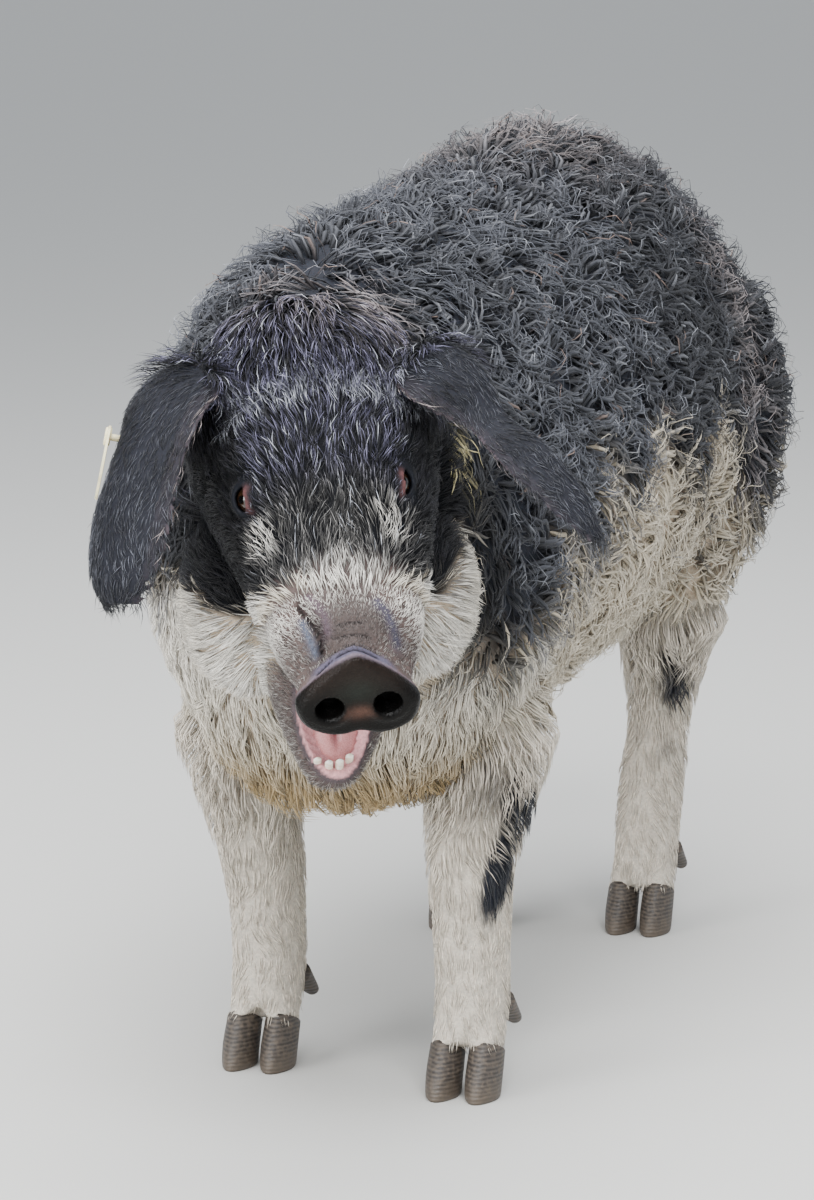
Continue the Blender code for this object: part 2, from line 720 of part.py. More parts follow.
def tail_point(t):
    """The middle of the tail at t, a loose curl hanging behind the rump."""
    angle = math.tau * TAIL_TURNS * t
    grow = ramp(t, 0.05, 0.35)
    x = TAIL_CURL * grow * math.sin(angle)
    y = TAIL_REACH * ramp(t, 0.0, 0.30) + TAIL_CURL * grow * (1 - math.cos(angle)) / 2
    return TAIL_ROOT + Vector((x, y, -TAIL_DROP * t**1.2))


def tail_tube(name, start, grow):
    """The tail as a tapering tube from t = start."""
    rings = []
    for i in range(TAIL_RINGS):
        t = start + (1 - start) * i / (TAIL_RINGS - 1)
        way = (tail_point(t + 0.004) - tail_point(t - 0.004)).normalized() if i else Vector((0, 1, -0.2))
        side = way.cross(Vector((0.2, 0, 1))).normalized()
        over = side.cross(way)
        radius = TAIL_RADII[0] + (TAIL_RADII[1] - TAIL_RADII[0]) * t + grow
        middle = tail_point(t)
        rings.append([
            middle + (side * math.cos(a) + over * math.sin(a)) * radius
            for a in (math.tau * k / TAIL_SIDES for k in range(TAIL_SIDES))
        ])
    return loft(name, rings)


def tail():
    """The tail with its tassel of locks."""
    tube = tail_tube("tail", 0.0, 0.0)
    end = tail_point(1.0)
    locks = []
    for k in range(TASSEL_LOCKS):
        a = math.tau * k / TASSEL_LOCKS
        way = Vector((TASSEL_SPREAD * math.cos(a), TASSEL_SPREAD * math.sin(a), -1)).normalized()
        length = TASSEL_LENGTH * (0.85 + 0.15 * math.cos(2.3 * k))
        middle = end + way * length * 0.45
        root, wide, tip = TASSEL_RADII
        locks.append(cone("lock", end - way * 0.012, middle, root, wide, 5))
        locks.append(cone("lock", middle - way * 0.002, end + way * length, wide * 0.99, tip, 5))
    return keep_largest(combine(tube, locks, "UNION"))


def dewclaw(leg, inner, grow):
    """One of the two small claws behind a foot."""
    x = leg.side * (leg.foot_out - inner * DEWCLAW_ROOT.x)
    root = Vector((x, leg.foot_y + DEWCLAW_ROOT.y, DEWCLAW_ROOT.z))
    turn = -inner * leg.side * DEWCLAW_TURN
    way = Vector((turn, math.cos(DEWCLAW_DROOP), -math.sin(DEWCLAW_DROOP))).normalized()
    wide, narrow = DEWCLAW_RADII
    return cone("dewclaw", root - way * grow, root + way * DEWCLAW_LENGTH, wide + grow, narrow + grow, 7)


def eye_place(side):
    """The middle of an eye in the head's frame."""
    return Vector((side * EYE_PLACE.x, EYE_PLACE.y, EYE_PLACE.z))


def cheek_place(side):
    """The middle of a cheek in the head's frame."""
    return Vector((side * CHEEK_PLACE.x, CHEEK_PLACE.y, CHEEK_PLACE.z))


def eyeball(name, side, grow=0.0):
    """One eye's ball."""
    radii = Vector((1, 1, 1)) * (EYE_RADIUS + grow)
    return ball(name, head_matrix(), eye_place(side), radii, EYE_SEGMENTS, EYE_SEGMENTS // 2)


def whole_body(chance):
    """The whole animal as one surface, coat and all."""
    pieces = [head_core()]
    for side in (1, -1):
        pieces.append(ball("cheek", head_matrix(), cheek_place(side), CHEEK_RADII, 12, 8))
        pieces.append(ball("lids", head_matrix(), eye_place(side), Vector((1, 1, 1)) * LID_RADIUS, 12, 8))
    for leg in LEGS:
        pieces.append(leg_core(leg))
        pieces.extend(toe(leg, inner) for inner in (1, -1))
    pieces.extend(body_clumps(chance))
    for leg in LEGS:
        pieces.extend(leg_clumps(leg, chance))
    pieces.extend(head_clumps(chance))
    return keep_largest(combine(body_core(), pieces, "UNION"))


def make_head(body):
    """The head, with its mouth, nostrils, eye openings and the roots of its ears cut."""
    frame = head_matrix()
    head = combine(copied(body, "head"), [head_region(0.0)], "INTERSECT")
    cuts = [jaw_core(GAP), mouth_hollow()]
    for side in (1, -1):
        place = Vector((side * NOSTRIL_PLACE.x, NOSTRIL_PLACE.y, NOSTRIL_PLACE.z))
        cuts.append(ball("nostril", frame, place, NOSTRIL_RADII, 10, 8))
        cuts.append(eyeball("socket", side, GAP))
        slit = Matrix.Translation(eye_place(side)) @ Matrix.Rotation(-side * EYE_TURN, 4, "Z")
        cuts.append(ball("opening", frame @ slit, Vector((side * EYE_RADIUS, 0, 0)), LID_OPENING, 12, 8))
    cuts.extend(ear_solid(ear, GAP) for ear in EARS)
    return keep_largest(combine(head, cuts, "DIFFERENCE"))


def mouth_hollow():
    """The hollow of the open mouth, in the head and the jaw alike."""
    frame = head_matrix() @ Matrix.Translation(MOUTH_PLACE) @ Matrix.Rotation(-MOUTH_SLOPE, 4, "X")
    return ball("mouth", frame, Vector(), MOUTH_RADII, 14, 8)


def tongue_body(name, grow=0.0):
    """The tongue, lying in the jaw."""
    frame = head_matrix() @ Matrix.Translation(TONGUE_PLACE) @ Matrix.Rotation(-TONGUE_SLOPE, 4, "X")
    return ball(name, frame, Vector(), grown(TONGUE_RADII, grow), 12, 8)


def make_jaw():
    """The lower jaw with its front teeth, hollowed for the mouth and the tongue."""
    frame = head_matrix()
    teeth = []
    for k in range(TEETH):
        along = k - (TEETH - 1) / 2
        root = TOOTH_PLACE + Vector((TOOTH_SPAN * along, -TOOTH_ARCH * along**2, 0))
        top = root + Vector((0, TOOTH_LENGTH * TOOTH_LEAN, TOOTH_LENGTH))
        teeth.append(cone("tooth", frame @ (root - Vector((0, 0, TOOTH_ROOT))), frame @ top, *TOOTH_RADII, 6))
    jaw = jaw_core()
    jaw.name = "jaw"
    jaw = combine(jaw, [mouth_hollow(), tongue_body("trough", GAP)], "DIFFERENCE")
    return keep_largest(combine(jaw, teeth, "UNION"))


def make_ear(ear):
    """An ear, with the hole of the tag's pin in the right one."""
    made = ear_solid(ear)
    made.name = ear.name
    if ear.side > 0:
        radius = TAG_PIN_RADIUS + GAP
        made = keep_largest(combine(made, [cone("hole", *tag_pin_ends(), radius, radius, 8)], "DIFFERENCE"))
    return made


def tag_pin_ends():
    """The ends of the tag's pin through the right ear's outer edge, outer end last."""
    place, _, across, back = ear_frame(EARS[0], TAG_ALONG)
    span = catmull(EAR_SPAN, TAG_ALONG)[1]
    middle = place + span * (across * TAG_ACROSS + back * EAR_CUP * (1 - TAG_ACROSS**2))
    return middle - TAG_WAY * TAG_PIN_REACH, middle + TAG_WAY * TAG_PIN_REACH


def make_tag():
    """The ear tag: a plate with its pin, and the button on the pin's far end."""
    start, end = tag_pin_ends()
    down = (TAG_HANG - TAG_WAY * TAG_HANG.dot(TAG_WAY)).normalized()
    turn = Matrix((down.cross(TAG_WAY), down, TAG_WAY)).transposed().to_4x4()
    plate = bmesh.new()
    bmesh.ops.create_cube(plate, size=1.0)
    place = Matrix.Translation(end) @ turn @ Matrix.Translation(Vector((0, TAG_SIZE.z * 0.36, 0)))
    size = Matrix.Diagonal((TAG_SIZE.x, TAG_SIZE.z, TAG_SIZE.y, 1.0))
    bmesh.ops.transform(plate, matrix=place @ size, verts=plate.verts)
    pin = cone("pin", start, end, TAG_PIN_RADIUS, TAG_PIN_RADIUS, 8)
    tag = combine(finished("tag_plate", plate), [pin], "UNION")
    face = start - TAG_WAY * GAP
    button = cone("tag_button", face - TAG_WAY * TAG_SIZE.y, face, TAG_BUTTON_RADIUS, TAG_BUTTON_RADIUS, 12)
    return tag, button


def make_leg(body, leg):
    """One leg with its coat, down to the coronets, and its four claws."""
    part = combine(copied(body, leg.name), [leg_region(leg, 0.0)], "INTERSECT")
    part = keep_largest(combine(part, [coronet(leg, False)], "INTERSECT"))
    made = [part]
    roots = []
    for inner in (1, -1):
        word = "inner" if inner > 0 else "outer"
        claw = combine(toe(leg, inner), [coronet(leg, True)], "INTERSECT")
        claw.name = leg.name.replace("leg", "claw") + "_" + word
        small = dewclaw(leg, inner, 0.0)
        small.name = leg.name.replace("leg", "dewclaw") + "_" + word
        roots.append(dewclaw(leg, inner, GAP))
        made.extend((claw, small))
    combine(part, roots, "DIFFERENCE")
    keep_largest(part)
    return made


def finish(thing, finish_of, parts):
    """Moves a finished node to its place over the origin and to the object's collection, with its material."""
    thing.data.name = thing.name
    thing.data.transform(Matrix.Translation((BODY_X, 0, 0)))
    thing.data.materials.clear()
    thing.data.materials.append(material(finish_of, thing.name))
    bpy.data.collections["working pieces"].objects.unlink(thing)
    parts.objects.link(thing)


def main():
    for thing in list(bpy.data.objects):
        bpy.data.objects.remove(thing)
    working = bpy.data.collections.new("working pieces")
    parts = bpy.data.collections.new("mangalica pig")
    bpy.context.scene.collection.children.link(working)
    bpy.context.scene.collection.children.link(parts)
    body = whole_body(random.Random(SEED))

    finish(make_head(body), BLACK_COAT, parts)
    finish(make_jaw(), MUZZLE_SKIN, parts)
    finish(tongue_body("tongue"), MOUTH_SKIN, parts)
    for side, name in ((1, "eye_right"), (-1, "eye_left")):
        finish(eyeball(name, side), EYE_BROWN, parts)
    for ear in EARS:
        finish(make_ear(ear), EAR_SKIN, parts)
    for piece in make_tag():
        finish(piece, TAG_CREAM, parts)
    for leg in LEGS:
        limb, *claws = make_leg(body, leg)
        finish(limb, CREAM_COAT, parts)
        for claw in claws:
            finish(claw, HORN, parts)
    finish(tail(), BLACK_COAT, parts)

    leg_cuts = [leg_region(leg, GAP) for leg in LEGS]
    trunk = combine(copied(body, "trunk"), [head_region(GAP), *leg_cuts], "DIFFERENCE")
    roots = [ear_solid(ear, GAP) for ear in EARS] + [tail_tube("tail_root", 0.0, GAP)]
    trunk = combine(trunk, roots, "DIFFERENCE")
    finish(keep_largest(combine(copied(trunk, "neck"), [neck_region(0.0)], "INTERSECT")), BLACK_COAT, parts)
    finish(keep_largest(combine(copied(trunk, "torso"), [neck_region(GAP)], "DIFFERENCE")), BLACK_COAT, parts)
    for thing in list(working.objects):
        bpy.data.objects.remove(thing)
    bpy.data.collections.remove(working)


main()
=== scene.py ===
"""A life-size mangalica pig with its skin, curly coat, eyes, mouth, hooves and ear tag.

Metres, +Z up. The pig faces -Y and its left side is +X, with its head low and turned to its left. The
shapes repeat the named sizes of the solids. One skin lies inside them by the depth of the coat, and the coat
is solid tufts that grow out of that skin. Colours come from one set of markings, which skin and coat share.
"""

from __future__ import annotations

import json
import logging
import math
from dataclasses import dataclass
from enum import Enum, IntEnum

import bmesh
import bpy
import numpy as np
from mathutils import Matrix, Vector
from mathutils.kdtree import KDTree

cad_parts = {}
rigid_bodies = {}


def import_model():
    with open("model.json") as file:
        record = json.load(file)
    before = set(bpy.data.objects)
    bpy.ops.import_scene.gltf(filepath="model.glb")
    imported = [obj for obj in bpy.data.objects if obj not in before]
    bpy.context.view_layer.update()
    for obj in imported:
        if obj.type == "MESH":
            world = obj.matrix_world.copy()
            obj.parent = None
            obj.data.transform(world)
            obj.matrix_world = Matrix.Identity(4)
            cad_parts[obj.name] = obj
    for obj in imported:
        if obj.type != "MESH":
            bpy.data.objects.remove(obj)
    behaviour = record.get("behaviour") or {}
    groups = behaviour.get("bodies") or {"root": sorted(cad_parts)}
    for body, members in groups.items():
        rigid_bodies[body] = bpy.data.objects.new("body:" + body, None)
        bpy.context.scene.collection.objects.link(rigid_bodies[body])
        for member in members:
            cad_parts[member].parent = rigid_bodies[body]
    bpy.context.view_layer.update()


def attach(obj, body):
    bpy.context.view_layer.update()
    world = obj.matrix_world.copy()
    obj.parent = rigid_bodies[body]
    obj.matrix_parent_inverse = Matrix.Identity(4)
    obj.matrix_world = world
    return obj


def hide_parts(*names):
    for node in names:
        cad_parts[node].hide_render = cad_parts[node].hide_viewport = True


LOG = logging.getLogger("mangalica")
Rows = np.ndarray
Thing = bpy.types.Object
Socket = bpy.types.NodeSocket

# Sizes that repeat those of the solids
FRONT_FEET_Y = -0.286
BODY_X = -0.038
GAP = 0.0003


def linear(code: str) -> Rows:
    """Turns an sRGB hex colour, written "#rrggbb", into linear red, green and blue from 0 to 1."""
    share = np.array([int(code[k : k + 2], 16) for k in (1, 3, 5)]) / 255
    return np.where(share <= 0.04045, share / 12.92, ((share + 0.055) / 1.055) ** 2.4)


def opaque(code: str) -> tuple[float, ...]:
    """A hex colour for a node's socket."""
    return (*linear(code), 1)


def ramp(value: Rows | float, start: float, end: float) -> Rows:
    """0 at the start, 1 at the end and smooth between."""
    t = np.clip((np.asarray(value, float) - start) / (end - start), 0.0, 1.0)
    return t * t * (3 - 2 * t)


def mix(first: Rows, second: Rows, share: Rows) -> Rows:
    """Blends two rows of vectors by a share for each row, or for all."""
    share = np.asarray(share, float)[..., None]
    return first * (1 - share) + second * share


def unit(rows: Rows) -> Rows:
    """The rows, each brought to length 1."""
    return rows / np.maximum(np.linalg.norm(rows, axis=-1, keepdims=True), 1e-9)


def catmull(keys: list, at: float) -> list[float]:
    """Reads a smooth curve through key rows.

    Args:
        keys: rows of numbers that begin with their places.
        at: the place to read.

    Returns:
        The row at that place.
    """
    rows = keys if keys[0][0] < keys[-1][0] else keys[::-1]
    i = 0
    while i < len(rows) - 2 and rows[i + 1][0] < at:
        i += 1
    before, a, b, after = rows[max(i - 1, 0)], rows[i], rows[i + 1], rows[min(i + 2, len(rows) - 1)]
    span = b[0] - a[0]
    t = (at - a[0]) / span
    found = [at]
    for k in range(1, len(a)):
        slope_a = (b[k] - before[k]) / max(b[0] - before[0], 1e-9) * span
        slope_b = (after[k] - a[k]) / max(after[0] - a[0], 1e-9) * span
        found.append(
            (2 * t**3 - 3 * t**2 + 1) * a[k]
            + (t**3 - 2 * t**2 + t) * slope_a
            + (3 * t**2 - 2 * t**3) * b[k]
            + (t**3 - t**2) * slope_b
        )
    return found


def along_curve(keys: list, at: Rows) -> Rows:
    """Heights of a broken line through two-number keys, for many places at once."""
    places, heights = zip(*sorted(keys))
    return np.interp(at, places, heights)


def bent(value: float, power: float) -> float:
    """A sine or cosine bent towards a squarer or rounder curve, with its sign kept."""
    return math.copysign(abs(value) ** power, value)


def waves(points: Rows, size: float, seed: int) -> Rows:
    """Smooth random hills and hollows in space.

    Args:
        points: places, one a row.
        size: the rough width of a hill in metres.
        seed: picks the pattern.

    Returns:
        A number a place, mostly between -1 and 1.
    """
    chance = np.random.default_rng(seed)
    total = np.zeros(len(points))
    for _ in range(9):
        way = unit(chance.normal(size=3)) * math.tau / (size * chance.uniform(1.4, 3.2))
        total += np.sin(points @ way + chance.uniform(0, math.tau))
    return total / 3.4


def hump(value: Rows, middle: float, width: float) -> Rows:
    """A soft hump, 1 in the middle and near 0 at twice the width."""
    return np.exp(-(((value - middle) / width) ** 2))


def behind(points: Rows) -> Rows:
    """Places from the pig's own middle plane and from behind its front feet."""
    return points - (BODY_X, FRONT_FEET_Y, 0)


def body_x(point: Vector) -> Vector:
    """Moves a point from the pig's own middle plane to where the frame has it."""
    return point + Vector((BODY_X, 0, 0))


def mirrored(place: Vector, side: int) -> Vector:
    """A place in the head's frame, for the side that it is wanted on."""
    return Vector((side * place.x, place.y, place.z))


def turns(count: int) -> list[float]:
    """The angles of the corners of a ring."""
    return [math.tau * k / count for k in range(count)]


def either(chosen: Rows, first: Rows, second: Rows) -> Rows:
    """The first's rows where chosen, and the second's elsewhere."""
    return np.where(chosen[:, None], first, second)


def blob(points: Rows, place: tuple, radii: tuple, power: float = 1.0) -> Rows:
    """A soft blob in space.

    Args:
        points: places, one a row.
        place: the blob's middle.
        radii: its reach along each axis.
        power: how flat its middle and how steep its rim is.

    Returns:
        A number a place, 1 in the middle and near 0 at twice the reach.
    """
    return np.exp(-((((points - place) / radii) ** 2).sum(axis=1) ** power))


def within(points: Rows, frame: Matrix) -> Rows:
    """The places in a frame's own coordinates."""
    inverse = np.array(frame.inverted())
    return points @ inverse[:3, :3].T + inverse[:3, 3]


def columns(x: Rows | float, y: Rows | float, z: Rows | float) -> Rows:
    """Rows of three numbers, from columns or from numbers that hold for every row."""
    return np.stack(np.broadcast_arrays(x, y, z), 1)


@dataclass(frozen=True)
class Toe:
    """One toe, and the slanted coronet where its claw begins."""

    # Height, distance behind the foot, half width, half length
    rings: tuple = (
        (0.0, -0.026, 0.0145, 0.028), (0.018, -0.022, 0.0155, 0.027), (0.04, -0.011, 0.015, 0.024),
        (0.062, -0.003, 0.0135, 0.021), (0.08, 0.004, 0.012, 0.018),
    )
    out: float = 0.0175
    coronet: float = 0.036
    slope: float = math.radians(16)


@dataclass(frozen=True)
class Hollows:
    """The mouth's hollow and the right nostril, in the head's frame."""

    mouth: Vector = Vector((0.013, -0.05, -0.074))
    mouth_radii: Vector = Vector((0.029, 0.054, 0.026))
    slope: float = math.radians(38)
    nostril: Vector = Vector((0.0228, 0.004, -0.0085))
    nostril_radii: Vector = Vector((0.0112, 0.022, 0.0102))


TOE = Toe()
HOLLOWS = Hollows()


@dataclass(frozen=True)
class Leg:
    """One leg: its side (+1 is left), its stations and where its foot and top stand."""

    name: str
    side: int
    stations: list
    foot_y: float
    top_y: float
    foot_out: float
    top_out: float
    # heights between which the leg swings from its foot line to its top
    blend: tuple = (0.1, 0.42)

    def middle(self, station: tuple) -> Vector:
        """The middle of the leg's ring at a station.

        Args:
            station: a row of the leg's stations.

        Returns:
            The place in the frame.
        """
        height, out, back, _, _ = station
        share = float(ramp(height, *self.blend))
        x = self.side * (self.foot_out + (self.top_out - self.foot_out) * share + out)
        y = self.foot_y + (self.top_y - self.foot_y) * share + back
        return body_x(Vector((x, y, height)))


# Height, distance out from the foot line, distance behind the foot, half width, half length
FRONT_LEG = [
    (0.43, 0.01, 0.03, 0.068, 0.092), (0.33, 0.012, 0.022, 0.066, 0.082),
    (0.26, 0.006, 0.008, 0.056, 0.062), (0.195, 0.0, 0.0, 0.044, 0.048), (0.14, 0.0, 0.004, 0.035, 0.038),
    (0.09, 0.0, 0.006, 0.034, 0.038), (0.055, 0.0, -0.002, 0.033, 0.034),
]
HIND_LEG = [
    (0.62, 0.02, 0.02, 0.088, 0.15), (0.52, 0.03, 0.022, 0.102, 0.168), (0.43, 0.03, 0.01, 0.096, 0.15),
    (0.35, 0.018, 0.0, 0.076, 0.108), (0.28, 0.006, 0.024, 0.052, 0.07), (0.215, 0.0, 0.044, 0.038, 0.05),
    (0.15, 0.0, 0.03, 0.034, 0.039), (0.09, 0.0, 0.012, 0.033, 0.038), (0.055, 0.0, 0.0, 0.033, 0.034),
]
LEGS = [
    Leg("front_left", 1, FRONT_LEG, FRONT_FEET_Y, FRONT_FEET_Y, 0.1, 0.1),
    Leg("front_right", -1, FRONT_LEG, FRONT_FEET_Y + 0.058, FRONT_FEET_Y, 0.102, 0.108),
    Leg("hind_left", 1, HIND_LEG, FRONT_FEET_Y + 0.7, FRONT_FEET_Y + 0.72, 0.086, 0.098),
    Leg("hind_right", -1, HIND_LEG, FRONT_FEET_Y + 0.67, FRONT_FEET_Y + 0.72, 0.086, 0.098),
]


@dataclass(frozen=True)
class HeadPose:
    """The head's frame, from the middle of the snout's disc: +Y' runs out of it, +X' to the pig's right."""

    disc: Vector = Vector((BODY_X + 0.127, FRONT_FEET_Y - 0.43, 0.414))
    yaw: float = math.radians(26)
    pitch: float = math.radians(38)
    roll: float = math.radians(7)

    def matrix(self) -> Matrix:
        """The frame as a matrix.

        Returns:
            The head's frame in the world.
        """
        turn = Matrix.Rotation(self.yaw, 4, "Z") @ Matrix.Rotation(math.pi, 4, "Z")
        dip = Matrix.Rotation(-self.pitch, 4, "X")
        return Matrix.Translation(self.disc) @ turn @ dip @ Matrix.Rotation(self.roll, 4, "Y")


HEAD_POSE = HeadPose()


@dataclass(frozen=True)
class Ear:
    """One ear: its side, its root in the head's frame, and its course in the world's directions."""

    name: str
    side: int
    root: Vector
    bend: Vector
    tip: Vector
    across: Vector
    spans: list
    reach: float
    cup: float

    def frame(self, t: float) -> tuple[Vector, Vector, Vector, Vector]:
        """The ear's middle line at t, its way on, its width's direction and its back's direction.

        Args:
            t: share of the way from root to tip.

        Returns:
            A place and three directions of length 1.
        """
        root = HEAD_POSE.matrix() @ self.root
        bend, tip = root + self.bend, root + self.tip
        place = (1 - t) ** 2 * root + 2 * t * (1 - t) * bend + t * t * tip
        way = (2 * (1 - t) * (bend - root) + 2 * t * (tip - bend)).normalized()
        across = (self.across - way * self.across.dot(way)).normalized()
        return place, way, across, way.cross(across).normalized()

    def point(self, t: float, u: float, lift: float) -> Vector:
        """A point on the ear.

        Args:
            t: share of the way from root to tip.
            u: share of the half width, from -1 to 1.
            lift: distance above the middle of the ear's thickness, on its back.

        Returns:
            The point in the frame.
        """
        place, _, across, back = self.frame(t * self.reach)
        _, outer, inner = catmull(self.spans, t)
        span = outer if u < 0 else inner
        hollow = self.cup * (outer + inner) / 2 * (1 - u * u)
        return place + across * (u * span) + back * (hollow * self.side + lift)


EARS = [
    Ear("right", 1, Vector((0.084, -0.268, 0.088)), Vector((-0.04, -0.05, -0.01)),
        Vector((-0.036, -0.105, -0.205)), Vector((0.74, -0.6, 0.05)),
        [(0, 0.034, 0.034), (0.15, 0.052, 0.043), (0.32, 0.058, 0.045), (0.48, 0.047, 0.05),
         (0.62, 0.047, 0.053),
         (0.78, 0.056, 0.053), (0.92, 0.052, 0.042), (1, 0.03, 0.02)], 0.89, 0.5),
    Ear("left", -1, Vector((-0.083, -0.268, 0.084)), Vector((0.07, -0.024, -0.022)),
        Vector((0.172, -0.088, -0.122)), Vector((-0.1, -0.95, -0.22)),
        [(0, 0.032, 0.036), (0.15, 0.036, 0.054), (0.32, 0.026, 0.056), (0.5, 0.004, 0.034),
         (0.68, 0.012, 0.042),
         (0.85, 0.016, 0.034), (0.95, 0.01, 0.02), (1, 0.004, 0.008)], 1.0, 0.62),
]


@dataclass(frozen=True)
class Tail:
    """The tail, a loose curl that hangs behind the rump."""

    root: Vector = Vector((BODY_X, FRONT_FEET_Y + 0.925, 0.64))
    reach: float = 0.06
    drop: float = 0.235
    curl: float = 0.026
    turns: float = 1.35

    def point(self, t: float) -> Vector:
        """The middle of the tail at t.

        Args:
            t: share of the way from root to tip.

        Returns:
            The place in the frame.
        """
        angle = math.tau * self.turns * t
        grow = float(ramp(t, 0.05, 0.35))
        x = self.curl * grow * math.sin(angle)
        y = self.reach * float(ramp(t, 0.0, 0.3)) + self.curl * grow * (1 - math.cos(angle)) / 2
        return self.root + Vector((x, y, -self.drop * t**1.2))


TAIL = Tail()


@dataclass(frozen=True)
class EyeSeat:
    """How the eyeballs sit in the head's frame."""

    right: Vector = Vector((0.0605, -0.1735, 0.053))
    left_x: float = -0.0525
    radius: float = 0.0125
    gaze: Vector = Vector((0.74, 0.42, 0.52)).normalized()

    def place(self, side: int) -> Vector:
        """The middle of an eye."""
        return Vector((side * self.right.x if side > 0 else self.left_x, self.right.y, self.right.z))

    def frame(self, side: int) -> Matrix:
        """An eye's frame: X' runs out along the gaze, and Y' along the slit.

        Args:
            side: +1 for the pig's right, -1 for its left.

        Returns:
            The eye's frame in the head's.
        """
        gaze = mirrored(self.gaze, side)
        slit = (Vector((side * 0.22, 1.0, -0.5)) - gaze * gaze.y).normalized()
        slit = (slit - gaze * slit.dot(gaze)).normalized()
        turn = Matrix((gaze, slit, gaze.cross(slit))).transposed().to_4x4()
        return Matrix.Translation(self.place(side)) @ turn


EYE = EyeSeat()


def link(name: str, data: bpy.types.Mesh) -> Thing:
    """Makes an object of a mesh and links it to the scene.

    Args:
        name: the object's name.
        data: the mesh.

    Returns:
        The object.
    """
    made = bpy.data.objects.new(name, data)
    bpy.context.scene.collection.objects.link(made)
    return made


def mesh_of(name: str, points: list, faces: list) -> Thing:
    """Makes an object from points and faces, with its normals turned outwards.

    Args:
        name: the object's name.
        points: the corners.
        faces: rows of corner numbers.

    Returns:
        The new object.
    """
    data = bpy.data.meshes.new(name)
    data.from_pydata([tuple(p) for p in points], [], faces)
    mesh = bmesh.new()
    mesh.from_mesh(data)
    bmesh.ops.recalc_face_normals(mesh, faces=mesh.faces)
    mesh.to_mesh(data)
    mesh.free()
    data.shade_smooth()
    return link(name, data)


def loft(name: str, rings: list) -> Thing:
    """A closed mesh through rings of points, with a fan over each end.

    Args:
        name: the object's name.
        rings: lists of points, all of one length.

    Returns:
        The new object.
    """
    count = len(rings[0])
    points = [p for ring in rings for p in ring]
    faces = []
    for i in range(len(rings) - 1):
        for k in range(count):
            a, b = i * count + k, i * count + (k + 1) % count
            faces.append((a, b, b + count, a + count))
    for i in (0, len(rings) - 1):
        points.append(sum((Vector(p) for p in rings[i]), Vector()) / count)
        faces.extend((i * count + k, i * count + (k + 1) % count, len(points) - 1) for k in range(count))
    return mesh_of(name, points, faces)


def ball(name: str, frame: Matrix, place: Vector, radii: Vector, segments: int) -> Thing:
    """A ball stretched to three radii, in a frame.

    Args:
        name: the object's name.
        frame: the frame that it stands in.
        place: its middle.
        radii: its three radii.
        segments: how many corners it has round its middle.

    Returns:
        The new object.
    """
    mesh = bmesh.new()
    bmesh.ops.create_uvsphere(mesh, u_segments=segments, v_segments=segments // 2, radius=1.0)
    stretched = frame @ Matrix.Translation(place) @ Matrix.Diagonal((*radii, 1.0))
    bmesh.ops.transform(mesh, matrix=stretched, verts=mesh.verts)
    data = bpy.data.meshes.new(name)
    mesh.to_mesh(data)
    mesh.free()
    data.shade_smooth()
    return link(name, data)


class Join(Enum):
    """How closed forms come together."""

    UNION = "UNION"
    CUT = "DIFFERENCE"


def combine(base: Thing, others: list, how: Join) -> Thing:
    """Joins the base with other closed objects, or cuts them from it, and removes them.

    Args:
        base: the object that is changed.
        others: the objects that are used up.
        how: whether they are joined or cut away.

    Returns:
        The base.
    """
    group = bpy.data.collections.new("operands")
    bpy.context.scene.collection.children.link(group)
    for thing in others:
        bpy.context.scene.collection.objects.unlink(thing)
        group.objects.link(thing)
    change = base.modifiers.new("join", "BOOLEAN")
    change.operand_type = "COLLECTION"
    change.collection = group
    change.operation = how.value
    change.solver = "MANIFOLD"
    apply_modifiers(base)
    for thing in list(group.objects):
        bpy.data.objects.remove(thing)
    bpy.data.collections.remove(group)
    return base


def apply_modifiers(thing: Thing) -> None:
    """Applies an object's modifiers to its mesh.

    Args:
        thing: the object.
    """
    shaped = thing.evaluated_get(bpy.context.evaluated_depsgraph_get())
    data = bpy.data.meshes.new_from_object(shaped)
    thing.modifiers.clear()
    thing.data = data


def remesh(thing: Thing, voxel: float, smoothing: int) -> Thing:
    """Turns joined closed forms into one even skin and smooths it.

    Args:
        thing: the object.
        voxel: the size of the skin's cells in metres.
        smoothing: how often it is smoothed.

    Returns:
        The same object.
    """
    change = thing.modifiers.new("remesh", "REMESH")
    change.mode = "VOXEL"
    change.voxel_size = voxel
    soften = thing.modifiers.new("soften", "SMOOTH")
    soften.factor = 0.5
    soften.iterations = smoothing
    apply_modifiers(thing)
    thing.data.shade_smooth()
    return thing


def read_rows(items: bpy.types.bpy_prop_collection, key: str) -> Rows:
    """Three numbers of each item of a mesh, one item a row.

    Args:
        items: the mesh's corners or normals.
        key: the number's name.

    Returns:
        Three numbers a row.
    """
    found = np.empty(len(items) * 3)
    items.foreach_get(key, found)
    return found.reshape(-1, 3)


def read_points(thing: Thing) -> Rows:
    """The corners of an object's mesh, one a row."""
    return read_rows(thing.data.vertices, "co")


def read_normals(thing: Thing) -> Rows:
    """The normals at an object's corners, one a row."""
    return read_rows(thing.data.vertex_normals, "vector")


def write_points(thing: Thing, points: Rows) -> None:
    """Moves the corners of an object's mesh."""
    thing.data.vertices.foreach_set("co", points.ravel())
    thing.data.update()


def line_distance(points: Rows, line: Rows) -> Rows:
    """Distances of points from a broken line.

    Args:
        points: places, one a row.
        line: the line's corners, one a row.

    Returns:
        The distance for each place.
    """
    best = np.full(len(points), np.inf)
    for a, b in zip(line, line[1:]):
        way = b - a
        share = np.clip((points - a) @ way / max(way @ way, 1e-12), 0, 1)
        best = np.minimum(best, np.linalg.norm(points - (a + share[:, None] * way), axis=1))
    return best


